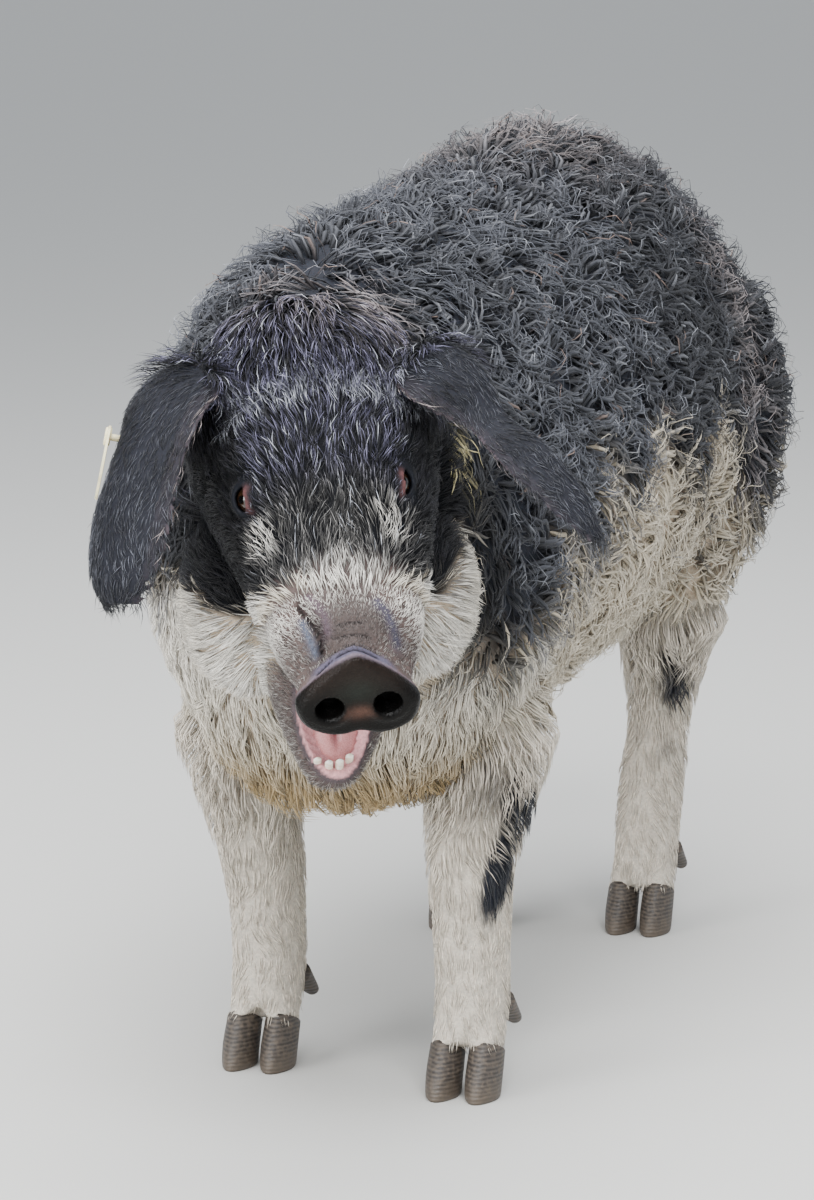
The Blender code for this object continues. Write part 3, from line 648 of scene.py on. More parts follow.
class HeadSpace:
    """Turns places and directions between the world and the head's frame."""

    def __init__(self) -> None:
        """Reads the head's frame once."""
        frame = np.array(HEAD_POSE.matrix())
        self.turn = frame[:3, :3]
        self.place = frame[:3, 3]

    def inside(self, points: Rows) -> Rows:
        """World places in the head's frame."""
        return (points - self.place) @ self.turn

    def outside(self, ways: Rows) -> Rows:
        """Directions in the head's frame as the world's."""
        return ways @ self.turn.T


@dataclass(frozen=True)
class Relief:
    """A swelling or, with a negative height, a groove along a line in the head's frame."""

    line: tuple
    width: float
    height: float
    mirrored: bool = False
    flat: bool = False

    def rise(self, places: Rows) -> Rows:
        """How far the skin moves out along its normal.

        Args:
            places: the skin's corners in the head's frame.

        Returns:
            A distance for each corner.
        """
        total = np.zeros(len(places))
        near = places * (1, 1, 0) if self.flat else places
        above = ramp(places[:, 2], 0.0, 0.01) if self.flat else 1.0
        for side in (1, -1) if self.mirrored else (1,):
            line = np.array(self.line) * (side, 1, 1)
            total += above * self.height * np.exp(-((line_distance(near, line) / self.width) ** 2))
        return total


def circle(place: Vector, wide: float, high: float, count: int = 14) -> tuple:
    """A closed ring of points round a place, in the plane across the head's axis.

    Args:
        place: its middle.
        wide: half the width.
        high: half the height.
        count: how many corners it has.

    Returns:
        The line's corners.
    """
    found = []
    for k in range(count + 1):
        a = math.tau * k / count
        found.append((place.x + wide * math.cos(a), place.y, place.z + high * math.sin(a)))
    return tuple(found)


# Lines on the snout's back, from above in the head's frame: the deep wrinkle and what lies beside it
GROOVE = ((0.037, -0.069, 0), (0.031, -0.057, 0), (0.0255, -0.047, 0), (0.0235, -0.039, 0), (0.024, -0.03, 0))
HOLLOW = ((0.037, -0.055, 0), (0.033, -0.044, 0), (0.029, -0.032, 0))
RIDGE_RIGHT = ((0.03, -0.071, 0), (0.024, -0.063, 0), (0.019, -0.052, 0), (0.0185, -0.04, 0))
RIDGE_LEFT = ((-0.023, -0.06, 0), (-0.029, -0.054, 0), (-0.033, -0.045, 0), (-0.035, -0.036, 0))
CREASES = (
    ((0.014, -0.019, 0), (-0.001, -0.018, 0), (-0.017, -0.017, 0)),
    ((0.029, -0.015, 0), (0.018, -0.019, 0)), ((0.02, -0.027, 0), (0.0, -0.025, 0), (-0.02, -0.024, 0)),
    ((0.012, -0.036, 0), (-0.014, -0.035, 0)), ((0.01, -0.045, 0), (-0.01, -0.045, 0)),
)


@dataclass
class Skin:
    """The one skin under the coat, from the snout to the coronets and the tail; coarser for quick trials."""

    quick: bool
    coat_depth: float = 0.03
    # Behind the front feet, half width, top, bottom, height of the widest line, shift left
    barrel: tuple = (
        (-0.3, 0.1, 0.68, 0.5, 0.59, 0.04), (-0.235, 0.13, 0.724, 0.415, 0.56, 0.024),
        (-0.165, 0.162, 0.752, 0.32, 0.525, 0.01), (-0.09, 0.186, 0.768, 0.254, 0.5, 0.0),
        (0.0, 0.2, 0.775, 0.24, 0.485, 0.0), (0.12, 0.205, 0.778, 0.252, 0.49, 0.0),
        (0.28, 0.213, 0.785, 0.266, 0.5, 0.0), (0.45, 0.219, 0.806, 0.276, 0.51, 0.0),
        (0.6, 0.216, 0.812, 0.306, 0.52, 0.0), (0.72, 0.212, 0.794, 0.35, 0.53, 0.0),
        (0.82, 0.194, 0.75, 0.4, 0.545, 0.0), (0.89, 0.156, 0.692, 0.445, 0.555, 0.0),
        (0.935, 0.098, 0.63, 0.49, 0.56, 0.0), (0.955, 0.04, 0.59, 0.53, 0.56, 0.0),
    )
    top_squareness: float = 1.1
    bottom_squareness: float = 0.88
    leg_coat_top: float = 0.34
    leg_coat_end: float = 0.12
    # Along the head's axis, half width, reach above the axis, reach below it, tilt of the ring's plane
    head_rings: tuple = (
        (0.0, 0.045, 0.034, 0.036, 12), (-0.006, 0.05, 0.039, 0.041, 12),
        (-0.016, 0.049, 0.0385, 0.039, 10), (-0.026, 0.045, 0.0355, 0.034, 7),
        (-0.055, 0.057, 0.043, 0.037, 3), (-0.095, 0.065, 0.054, 0.044, 0),
        (-0.14, 0.075, 0.071, 0.054, 0), (-0.18, 0.087, 0.1, 0.07, 0), (-0.225, 0.101, 0.125, 0.098, 0),
        (-0.275, 0.108, 0.137, 0.12, 0), (-0.32, 0.102, 0.132, 0.125, 0), (-0.36, 0.08, 0.108, 0.105, 0),
    )
    head_squareness: float = 0.92
    disc_drop: float = 0.008
    cheek_place: Vector = Vector((0.066, -0.205, -0.098))
    cheek_radii: Vector = Vector((0.064, 0.088, 0.082))
    # Along the head's axis, height of the ring's middle, half width, reach above and below, shift right
    jaw_rings: tuple = (
        (-0.02, -0.12, 0.011, 0.006, 0.008, 0.018), (-0.028, -0.118, 0.021, 0.013, 0.015, 0.018),
        (-0.05, -0.106, 0.034, 0.03, 0.026, 0.015), (-0.078, -0.09, 0.048, 0.043, 0.038, 0.01),
        (-0.115, -0.084, 0.058, 0.042, 0.046, 0.005), (-0.16, -0.082, 0.064, 0.04, 0.05, 0.0),
        (-0.2, -0.082, 0.062, 0.038, 0.048, 0.0),
    )
    jaw_squareness: float = 0.8
    lid_radius: float = 0.018
    lid_opening: Vector = Vector((0.012, 0.0108, 0.0052))
    ear_thickness: float = 0.005
    tail_radii: tuple = (0.0165, 0.0075)
    # Folds and swellings of the face
    relief: tuple = (
        # brow over each eye, and the hollow of the temple behind it
        Relief(((0.032, -0.18, 0.086), (0.056, -0.19, 0.08), (0.078, -0.204, 0.062)), 0.013, 0.006, True),
        Relief(((0.09, -0.212, 0.052), (0.098, -0.235, 0.03)), 0.02, -0.008, True),
        # the crease above the upper lid and the bag below the lower one
        Relief(
            ((0.052, -0.164, 0.072), (0.07, -0.176, 0.073), (0.082, -0.192, 0.062)), 0.0035, -0.0028, True
        ),
        Relief(((0.058, -0.156, 0.04), (0.076, -0.166, 0.032), (0.086, -0.182, 0.036)), 0.006, 0.003, True),
        # ridge of the bridge and the slight hollow at its sides
        Relief(((0.0, -0.07, 0.05), (0.0, -0.13, 0.068)), 0.02, 0.003),
        Relief(((0.046, -0.115, 0.04), (0.05, -0.145, 0.052)), 0.014, -0.003, True),
        # the deep wrinkle at the right of the bridge, its swollen sides and the small ones over the disc
        Relief(GROOVE, 0.0028, -0.006, flat=True),
        Relief(RIDGE_RIGHT, 0.0045, 0.0032, flat=True),
        Relief(HOLLOW, 0.0045, 0.002, flat=True),
        Relief(RIDGE_LEFT, 0.005, 0.003, flat=True),
        Relief(((-0.018, -0.064, 0), (-0.026, -0.048, 0), (-0.029, -0.034, 0)), 0.003, -0.0026, flat=True),
        *(Relief(crease, 0.0018, -0.0016, flat=True) for crease in CREASES),
        # rims of the nostrils
        Relief(circle(HOLLOWS.nostril, 0.0145, 0.0132), 0.0034, 0.002, True),
        # edge of the upper lip, and the fold from the mouth's corner into the cheek
        Relief(((0.04, -0.022, -0.042), (0.052, -0.06, -0.05), (0.058, -0.1, -0.064)), 0.007, 0.004, True),
        Relief(((0.064, -0.1, -0.05), (0.076, -0.13, -0.07), (0.08, -0.15, -0.1)), 0.006, -0.0045, True),
    )

    def __post_init__(self) -> None:
        """Sets how fine the skin is."""
        self.trunk_voxel = 0.008 if self.quick else 0.0052
        self.head_voxel = 0.004 if self.quick else 0.0024
        self.head = HeadSpace()

    def trunk(self) -> Thing:
        """The barrel, neck and legs as one form.

        Returns:
            One closed form.
        """
        rings = []
        first, last = self.barrel[0][0] + 0.03, self.barrel[-1][0] - 0.036
        for i in range(56):
            back = first + (last - first) * i / 55
            _, half, top, bottom, middle, shift = catmull(self.barrel, back)
            # the front end is domed, so that it closes inside the head
            dome = math.sqrt(1 - min(max((-0.205 - back) / 0.068, 0.0), 0.98) ** 2)
            ring = []
            for turn in turns(48):
                upper = math.sin(turn) > 0
                power = self.top_squareness if upper else self.bottom_squareness
                rise = (top - middle) if upper else (middle - bottom)
                x = dome * max(half - self.coat_depth, 0.008) * bent(math.cos(turn), power)
                z = middle + dome * max(rise - self.coat_depth, 0.008) * bent(math.sin(turn), power)
                ring.append(body_x(Vector((x + shift, FRONT_FEET_Y + back, z))))
            rings.append(ring)
        barrel = loft("skin_trunk", rings)
        pieces = []
        for leg in LEGS:
            pieces.append(self.leg(leg))
            pieces.extend(self.toe(leg, inner) for inner in (1, -1))
        remesh(combine(barrel, pieces, Join.UNION), self.trunk_voxel, 7)
        self.shape_trunk(barrel)
        return barrel

    def leg(self, leg: Leg) -> Thing:
        """One leg from inside the barrel to the pastern.

        Args:
            leg: the leg.

        Returns:
            A closed form.
        """
        rings = []
        top, foot = leg.stations[0][0], leg.stations[-1][0]
        for i in range(26):
            station = catmull(leg.stations, top + (foot - top) * i / 25)
            thick = float(ramp(station[0], self.leg_coat_end, self.leg_coat_top + 0.04))
            inset = 0.002 + self.coat_depth * thick
            half, length = station[3] - inset, station[4] - inset
            middle = leg.middle(station)
            rings.append([middle + Vector((half * math.cos(a), length * math.sin(a), 0)) for a in turns(24)])
        return loft("skin_leg", rings)

    def toe(self, leg: Leg, inner: int) -> Thing:
        """The fleshy top of one toe, above the coronet.

        Args:
            leg: the leg.
            inner: 1 for the inner toe, -1 for the outer one.

        Returns:
            A closed form.
        """
        rings = []
        for i in range(7):
            height, back, half, length = catmull(TOE.rings, 0.022 + 0.055 * i / 6)
            middle = Vector((leg.side * (leg.foot_out - inner * TOE.out), leg.foot_y + back, height))
            ring = []
            for a in turns(16):
                out = Vector(((half - 0.001) * math.cos(a), (length - 0.001) * math.sin(a), 0))
                # the lower rim follows the coronet's slope
                drop = max(TOE.coronet - (out.y + back) * math.tan(TOE.slope) - height, 0.0)
                ring.append(body_x(middle + out + Vector((0, 0, drop))))
            rings.append(ring)
        return loft("skin_toe", rings)

    def shape_trunk(self, barrel: Thing) -> None:
        """Moves the skin of the trunk to the swellings and hollows of muscle and bone.

        Args:
            barrel: the trunk's skin, which is changed.
        """
        points, normals = read_points(barrel), read_normals(barrel)
        own = behind(points)
        side = np.abs(own[:, 0])
        rise = np.zeros(len(points))
        # shoulder, hollow behind it, flank, ham, and the points of elbow and hock
        for x, y, z, width, height in (
            (0.17, 0.01, 0.48, 0.09, 0.003), (0.18, 0.15, 0.42, 0.06, -0.008),
            (0.19, 0.42, 0.43, 0.09, -0.01), (0.16, 0.76, 0.52, 0.1, 0.002),
            (0.13, 0.055, 0.33, 0.028, 0.008), (0.09, 0.78, 0.225, 0.022, 0.007),
        ):
            away = (side - x) ** 2 + (own[:, 1] - y) ** 2 + (own[:, 2] - z) ** 2
            rise += height * np.exp(-away / width**2)
        rise += 0.0016 * waves(points, 0.05, 3) * ramp(points[:, 2], 0.1, 0.3)
        write_points(barrel, points + normals * rise[:, None])

    def face(self) -> Thing:
        """The head with cheeks, lids, jaw and ears, its mouth, nostrils and sockets cut, and its folds.

        Returns:
            One closed form.
        """
        frame = HEAD_POSE.matrix()
        skull = self.skull(frame)
        pieces = [self.jaw(frame)]
        for side in (1, -1):
            cheek = mirrored(self.cheek_place, side)
            pieces.append(ball("cheek", frame, cheek, self.cheek_radii - Vector((0.012, 0.012, 0.012)), 32))
            lids = Vector((1, 1, 1)) * (self.lid_radius - 0.0005)
            pieces.append(ball("lids", frame, EYE.place(side), lids, 28))
        pieces.extend(self.ear(ear) for ear in EARS)
        combine(skull, pieces, Join.UNION)
        mouth = frame @ Matrix.Translation(HOLLOWS.mouth) @ Matrix.Rotation(-HOLLOWS.slope, 4, "X")
        cuts = [ball("mouth", mouth, Vector(), HOLLOWS.mouth_radii, 32)]
        for side in (1, -1):
            cuts.append(ball("nostril", frame, mirrored(HOLLOWS.nostril, side), HOLLOWS.nostril_radii, 24))
            cuts.append(ball("socket", frame, EYE.place(side), Vector((1, 1, 1)) * (EYE.radius + 0.0008), 28))
            place = Vector((EYE.radius + 0.001, 0, 0))
            cuts.append(ball("opening", frame @ EYE.frame(side), place, self.lid_opening, 24))
        combine(skull, cuts, Join.CUT)
        remesh(skull, self.head_voxel, 3)
        points, normals = read_points(skull), read_normals(skull)
        places = self.head.inside(points)
        rise = sum(relief.rise(places) for relief in self.relief)
        # fine wrinkles over the snout's back
        wrinkled = ramp(places[:, 1], -0.085, -0.05) * ramp(places[:, 1], -0.02, -0.032)
        rise = rise + 0.0006 * wrinkled * np.sin(places[:, 1] * 1250 + 2.2 * waves(points, 0.02, 8))
        write_points(skull, points + normals * rise[:, None])
        return skull

    def skull(self, frame: Matrix) -> Thing:
        """The head from the snout's disc to the nape.

        Args:
            frame: the head's frame.

        Returns:
            A closed form.
        """
        places = [0.0, -0.0025, -0.006, -0.011, -0.016, -0.021, -0.026, -0.034, -0.044]
        places += [-0.055 - 0.0105 * i for i in range(30)]
        rings = []
        for place in places:
            _, half, above, below, tilt = catmull(self.head_rings, place)
            inset = 0.001 + 0.011 * float(ramp(-place, 0.11, 0.27))
            arch = 1 - float(ramp(-place, 0.018, 0.056))
            lean = Matrix.Rotation(math.radians(tilt), 4, "X")
            ring = []
            for a in turns(72):
                up = math.sin(a)
                power = self.head_squareness - (0 if up > 0 else 0.16 * arch)
                across = bent(math.cos(a), power)
                # the disc is an arch: widest low down, narrow and round on top, notched below
                if up > 0:
                    narrow = bent(math.cos(a), 0.0001) * (1 - up) ** 0.76
                    across += arch * (narrow - across)
                    z = (above - inset + self.disc_drop * arch) * bent(up, power)
                else:
                    z = (below - inset - self.disc_drop * arch) * bent(up, power)
                x = (half - inset) * across
                notch = 0.0045 * arch * math.exp(-((x / 0.01) ** 2)) if up < 0 else 0.0
                point = Vector((x, 0, z - self.disc_drop * arch + notch + 0.055 * arch * x))
                ring.append(frame @ (lean @ point + Vector((0, place, 0))))
            rings.append(ring)
        return loft("skin_head", rings)

    def jaw(self, frame: Matrix) -> Thing:
        """The lower jaw with its lip.

        Args:
            frame: the head's frame.

        Returns:
            A closed form.
        """
        rings = []
        for i in range(30):
            place, middle, half, above, below, shift = catmull(self.jaw_rings, -0.0205 - 0.179 * i / 29)
            ring = []
            for a in turns(40):
                reach = above if math.sin(a) > 0 else below
                x = shift + (half - 0.001) * bent(math.cos(a), self.jaw_squareness)
                z = middle + (reach - 0.001) * bent(math.sin(a), self.jaw_squareness)
                ring.append(frame @ Vector((x, place, z)))
            rings.append(ring)
        return loft("skin_jaw", rings)

    def ear(self, ear: Ear) -> Thing:
        """One hanging ear, thick along its middle and thin at its rim.

        Args:
            ear: the ear.

        Returns:
            A closed form.
        """
        rings = []
        for i in range(34):
            t = i / 33
            thick = (self.ear_thickness - 0.001) * (1 - 0.25 * t)
            ring = []
            for a in turns(32):
                u = math.cos(a) * 0.97
                ripple = 0.0022 * math.sin(9.0 * t + 2.4 * ear.side) * abs(u) ** 3
                lift = thick * math.copysign(abs(math.sin(a)) ** 0.7, math.sin(a)) + ripple
                ring.append(ear.point(t, u, lift))
            rings.append(ring)
        return loft("skin_ear", rings)

    def tail(self) -> Thing:
        """The tail inside its hair.

        Returns:
            A closed form.
        """
        rings = []
        for i in range(48):
            t = i / 47
            way = (TAIL.point(t + 0.03) - TAIL.point(max(t - 0.03, 0.0))).normalized()
            way = way.lerp(Vector((0, 1, 0)), float(ramp(t, 0.12, 0.0))).normalized()
            side = way.cross(Vector((0.2, 0, 1))).normalized()
            over = side.cross(way)
            radius = (self.tail_radii[0] + (self.tail_radii[1] - self.tail_radii[0]) * t) * 0.72
            middle = TAIL.point(t) - way * (0.07 if i == 0 else 0.0)
            rings.append([middle + (side * math.cos(a) + over * math.sin(a)) * radius for a in turns(14)])
        return loft("skin_tail", rings)

    def build(self) -> Thing:
        """Makes the whole skin.

        Returns:
            One closed object with smooth shading.
        """
        trunk = self.trunk()
        combine(trunk, [self.face(), self.tail()], Join.UNION)
        trunk.name = "skin"
        trunk.data.name = "skin"
        trunk.data.shade_smooth()
        return trunk


class Region(IntEnum):
    """The stretches of coat that grow in their own way."""

    BARE = 0
    BODY = 1
    LEG = 2
    FACE = 3
    CHEEK = 4
    MUZZLE = 5
    EAR = 6
    TAIL = 7
    THROAT = 8


@dataclass(frozen=True)
class Growth:
    """How a region's tufts grow: rings a tuft, tufts a square metre, sizes in metres, and how they gather."""

    rings: int
    density: float
    length: float
    width: float
    depth: float
    curl: float
    turns: float
    stray: float
    swirl: float
    gather: float
    members: int


# Colours of the coat and the hide
DARK_ROOT = linear("#1b1c21")
DARK_TIP = linear("#62656e")
EAR_TIP = linear("#70737e")
SILVER_TIP = linear("#c3c7d1")
RUST_TIP = linear("#9c857a")
CREAM_ROOT = linear("#b8ac96")
CREAM_TIP = linear("#f1e8d6")
WHITE_TIP = linear("#faf6ee")
TAN_TIP = linear("#bda57c")
LEG_TIP = linear("#f3e9d9")
BROWN_TIP = linear("#6f6459")
CREST_TIP = linear("#dccdca")
DARK_HIDE = linear("#26282f")
PALE_HIDE = linear("#c9b8a2")
MAUVE_HIDE = linear("#594d4a")
DISC_HIDE = linear("#0e0d0c")
RIM_HIDE_AND_HIGHLIGHT = linear("#6d6068")
DISC_PINK = linear("#4a352d")
LIP_HIDE = linear("#4d4548")
MOUTH_PINK = linear("#dba3a6")
MOUTH_PAINTED_SHADE = linear("#5a2528")
EAR_HIDE = linear("#202127")
EAR_RIM = linear("#4a4247")
EYE_PINK = linear("#5f4040")
YELLOW_TIP = linear("#e2d6a4")
FACE_DARK = linear("#121218")
FACE_MID = linear("#3d3c50")
FACE_LIGHT = linear("#7f7d98")
BLUISH_HIDE = linear("#56546a")
BRISTLE_BROWN = linear("#554d4b")

# Colours along the lines of the snout's back: reach and colour
# the deep wrinkle and the creases are near black: painted shade in the folds
PAINTED_SHADE_FOLDS = ((GROOVE, 0.003, "#030203"), *((crease, 0.0011, "#0d0a0b") for crease in CREASES))
MUZZLE_MARKS = (
    (HOLLOW, 0.0029, "#505665"),
    (RIDGE_RIGHT, 0.0036, "#54484f"),
    (RIDGE_LEFT, 0.0044, "#42404c"),
    *PAINTED_SHADE_FOLDS,
)


@dataclass
class Hide:
    """Regions, markings and lie of the coat as functions of the place on the skin."""

    # Plane between head and neck
    cut: Vector = Vector((BODY_X + 0.03, FRONT_FEET_Y - 0.22, 0.56))
    cut_yaw: float = math.radians(13)
    cut_pitch: float = math.radians(15)
    # Height of the line between dark back and cream flank, by distance behind the front feet
    flank_line: tuple = (
        (-0.35, 0.43), (-0.14, 0.408), (-0.07, 0.394), (-0.03, 0.425), (0.06, 0.458), (0.168, 0.487),
        (0.315, 0.502), (0.5, 0.477), (0.66, 0.434), (0.9, 0.44),
    )
    # Height of the face mask's lower edge in the head's frame, by place along the head's axis
    mask_left: tuple = (
        (-0.36, -0.075), (-0.215, -0.058), (-0.15, -0.056), (-0.108, 0.006), (-0.082, 0.04), (-0.067, 0.3),
    )
    mask_right: tuple = (
        (-0.36, -0.2), (-0.3, -0.165), (-0.25, -0.125), (-0.215, -0.088), (-0.18, -0.056), (-0.15, -0.056),
        (-0.108, 0.006), (-0.082, 0.04), (-0.067, 0.3),
    )
    # Middle of the white fringe along the head's axis, by place across the snout
    fringe_line: tuple = ((-0.09, -0.072), (-0.045, -0.062), (0.0, -0.075), (0.045, -0.062), (0.09, -0.07))
    # Pale tufts under the inner corners of the eyes
    tears: tuple = ((0.055, -0.128, 0.046), (-0.0445, -0.124, 0.054))

    def __post_init__(self) -> None:
        """Prepares the head's frame and the ears' sheets."""
        self.head = HeadSpace()
        self.sheets = [self.ear_sheet(ear) for ear in EARS]
        self.tail_line = np.array([TAIL.point(i / 30) for i in range(31)])
        turn = Matrix.Rotation(self.cut_yaw, 4, "Z") @ Matrix.Rotation(self.cut_pitch, 4, "X")
        self.cut_way = np.array(turn.to_3x3() @ Vector((0, 1, 0)))
        self.cut_place = np.array(self.cut)

    def ear_sheet(self, ear: Ear) -> tuple[Rows, Rows, Rows]:
        """Points over an ear's middle sheet, their shares along and across it, and the way to the tip.

        Args:
            ear: the ear.

        Returns:
            Three arrays with a row a point.
        """
        points, shares, ways = [], [], []
        for i in range(1, 27):
            t = i / 26
            for k in range(13):
                u = -1 + k / 6
                points.append(ear.point(t, u, 0.0))
                shares.append((t, u))
                ways.append(ear.frame(t * ear.reach)[1])
        return np.array(points), np.array(shares), np.array(ways)

    def ears(self, points: Rows) -> tuple[Rows, Rows, Rows]:
        """Each place's distance from the nearest ear's sheet, its shares there and the way to the tip.

        Args:
            points: places, one a row.

        Returns:
            Three arrays with a row a place.
        """
        best = np.full(len(points), np.inf)
        shares = np.zeros((len(points), 2))
        ways = np.zeros((len(points), 3))
        near = np.nonzero(points[:, 1] < FRONT_FEET_Y - 0.1)[0]
        for sheet, own, way in self.sheets:
            for start in range(0, len(near), 4000):
                rows = near[start : start + 4000]
                gaps = np.linalg.norm(points[rows, None, :] - sheet[None, :, :], axis=2)
                pick = gaps.argmin(axis=1)
                gap = gaps[np.arange(len(rows)), pick]
                closer = gap < best[rows]
                best[rows[closer]] = gap[closer]
                shares[rows[closer]] = own[pick[closer]]
                ways[rows[closer]] = way[pick[closer]]
        return best, shares, ways

    def regions(self, points: Rows) -> Rows:
        """The region that each place belongs to.

        Args:
            points: places, one a row.

        Returns:
            A Region a place.
        """
        found = np.full(len(points), Region.BODY)
        x, y, _ = behind(points).T
        side = np.abs(x)
        front = y < 0.3
        cut = np.where(front, 0.222 + 0.208 * side / 0.25, 0.3 + 0.26 * side / 0.25)
        low = (points[:, 2] < np.minimum(cut, 0.33)) & (y > -0.13)
        middle = y + 0.02 * waves(points, 0.03, 8)
        low &= ((middle < 0.16) | (middle > 0.57)) | (points[:, 2] < 0.25)
        found[low] = Region.LEG
        found[points[:, 2] < 0.03] = Region.BARE
        throat = (found == Region.BODY) & (y < 0.03)
        throat[throat] = self.dark(points[throat]) < 0.5
        found[throat] = Region.THROAT
        ahead = (points - self.cut_place) @ self.cut_way < 0.0
        h = self.head.inside(points)
        hx, hy, hz = h.T
        inside = ahead & (np.abs(hx) < 0.17)
        found[inside] = Region.FACE
        found[inside & (self.mask(h) < 0.5) & (hy < -0.088)] = Region.CHEEK
        found[inside & (hz < -0.13)] = Region.CHEEK
        found[inside & (hy > -0.064 - 0.25 * np.abs(hx)) & (hz > -0.16)] = Region.MUZZLE
        found[inside & (hy > -0.1) & (hz < 0.0) & (hz > -0.13)] = Region.MUZZLE
        gap, share, _ = self.ears(points)
        found[(gap < 0.0085) & (share[:, 0] > 0.1)] = Region.EAR
        found[line_distance(points, self.tail_line[2:]) < 0.018] = Region.TAIL
        found[self.bare(h)] = Region.BARE
        return found

    def bare(self, h: Rows) -> Rows:
        """Where no hair grows: disc, lips, mouth, and the eyes' openings.

        Args:
            h: places in the head's frame.

        Returns:
            True or False a place.
        """
        disc = (h[:, 1] > -0.019) & (h[:, 2] > -0.06)
        disc |= self.marks(h, PAINTED_SHADE_FOLDS) > 0.5
        lip = (self.mouth(h) < 1.13) & (h[:, 1] > -0.13)
        eyes = np.zeros(len(h), bool)
        for side in (1, -1):
            eyes |= np.linalg.norm(h - np.array(EYE.place(side)), axis=1) < 0.015
            eyes |= self.slit(h, side) < 1.0
        return disc | lip | eyes

    def slit(self, h: Rows, side: int) -> Rows:
        """Distance from the middle of an eye's opening, as a share of its lids' reach."""
        local = within(h, EYE.frame(side))
        return np.linalg.norm((local - (EYE.radius, 0, 0)) / (0.013, 0.015, 0.01), axis=1)

    def mouth(self, h: Rows) -> Rows:
        """Distance from the middle of the mouth's hollow, as a share of its radii.

        Args:
            h: places in the head's frame.

        Returns:
            A number a place, 1 on the hollow's wall.
        """
        turn = np.array(Matrix.Rotation(-HOLLOWS.slope, 3, "X"))
        local = (h - np.array(HOLLOWS.mouth)) @ turn / np.array(HOLLOWS.mouth_radii)
        return np.linalg.norm(local, axis=1)

    def mask(self, h: Rows) -> Rows:
        """1 inside the dark mask of the face, 0 outside it.

        Args:
            h: places in the head's frame.

        Returns:
            A number a place.
        """
        wobble = 0.006 * waves(h, 0.02, 21)
        left, right = (along_curve(line, h[:, 1] + wobble) for line in (self.mask_left, self.mask_right))
        return ramp(h[:, 2] + wobble - np.where(h[:, 0] > 0, right, left), -0.007, 0.007)

    def dark(self, points: Rows) -> Rows:
        """1 where the coat is dark, 0 where it is cream.

        Args:
            points: places, one a row.

        Returns:
            A number a place.
        """
        x, y, z = behind(points).T
        wobble = 0.03 * waves(points, 0.07, 5) + 0.008 * waves(points, 0.015, 6)
        wobble += 0.03 * waves(points, 0.17, 9) * ramp(y, 0.0, 0.12)
        line = along_curve(self.flank_line, y)
        # the cream of the throat reaches higher on the right of the neck
        line = line + 0.06 * ramp(y, -0.03, -0.08) * ramp(x, -0.02, -0.08)
        body = ramp(z - line + wobble, -0.042, 0.042)
        h = self.head.inside(points)
        # cheeks and throat stay cream on the neck just behind the head
        ahead = ramp((points - self.cut_place) @ self.cut_way, 0.015, -0.015)
        return body * (1 - ahead) + self.mask(h) * ahead

    def marks(self, h: Rows, lines: tuple) -> Rows:
        """1 along the given lines of the snout's back.

        Args:
            h: places in the head's frame.
            lines: each line with its reach and colour.

        Returns:
            A number a place.
        """
        total = np.zeros(len(h))
        for line, width, _ in lines:
            near = line_distance(h * (1, 1, 0), np.array(line)) / (width * 1.1)
            total = np.maximum(total, np.exp(-(near**2)))
        return total * ramp(h[:, 2], 0.0, 0.01) * ramp(h[:, 1], -0.11, -0.09)

    def dorsum(self, h: Rows) -> Rows:
        """1 on the brown back of the snout.

        Args:
            h: places in the head's frame.

        Returns:
            A number a place.
        """
        hx, hy, hz = h.T
        middle = ramp(np.abs(hx + 0.002), 0.034, 0.02)
        return middle * ramp(hz, 0.018, 0.03) * ramp(hy, -0.068, -0.058)

    def nape(self, points: Rows) -> Rows:
        """1 on the upper neck just behind the head.

        Args:
            points: places, one a row.

        Returns:
            A number a place.
        """
        gap = (points - self.cut_place) @ self.cut_way
        wobble = 0.03 * waves(points, 0.045, 73)
        side = ramp(gap + wobble, 0.13, 0.0) * ramp(points[:, 2], 0.38, 0.46)
        top = ramp(gap, 0.1, 0.02) * ramp(points[:, 2], 0.54, 0.62)
        return np.maximum(side, top) * (points[:, 1] < FRONT_FEET_Y)

    def crest(self, points: Rows) -> Rows:
        """1 on the pale hair of the nape and the rump's top.

        Args:
            points: places, one a row.

        Returns:
            A number a place.
        """
        x, y, z = behind(points).T
        rump = np.exp(-(((y - 0.55) / 0.16) ** 2) - (x / 0.06) ** 2) * (z > 0.72)
        edge = hump(y, 0.665, 0.035) * ramp(x, 0.1, 0.14)
        rump += 0.8 * edge * ramp(z, 0.4, 0.5)
        h = self.head.inside(points)
        return 0.55 * rump + 0.85 * blob(h, (-0.05, -0.355, 0.105), (0.06, 0.04, 0.05))

    def coat(self, points: Rows, regions: Rows, chance: np.random.Generator) -> tuple[Rows, Rows]:
        """Colours of the tufts.

        Args:
            points: the tufts' roots.
            regions: the region of each.
            chance: the random draw.

        Returns:
            The colour at each root and at each tip.
        """
        count = len(points)
        own = behind(points)
        h = self.head.inside(points)
        hx, hy, hz = h.T
        dark = self.dark(points)
        dark = np.where(chance.random(count) < dark, np.maximum(dark, 0.8), np.minimum(dark, 0.15))
        tip_dark = mix(DARK_TIP * 0.72, DARK_TIP * 1.12, chance.random(count))
        tip_dark = tip_dark * self.tone(points)[:, None]
        draw = chance.random(count)
        tip_dark = np.where((draw < 0.09)[:, None], SILVER_TIP * 0.6, tip_dark)
        tip_dark = np.where(((draw > 0.985) & (regions == Region.BODY))[:, None], RUST_TIP, tip_dark)
        pick = chance.random(count)[:, None]
        face = np.where(pick < 0.4, FACE_DARK, np.where(pick < 0.76, FACE_MID, FACE_LIGHT))
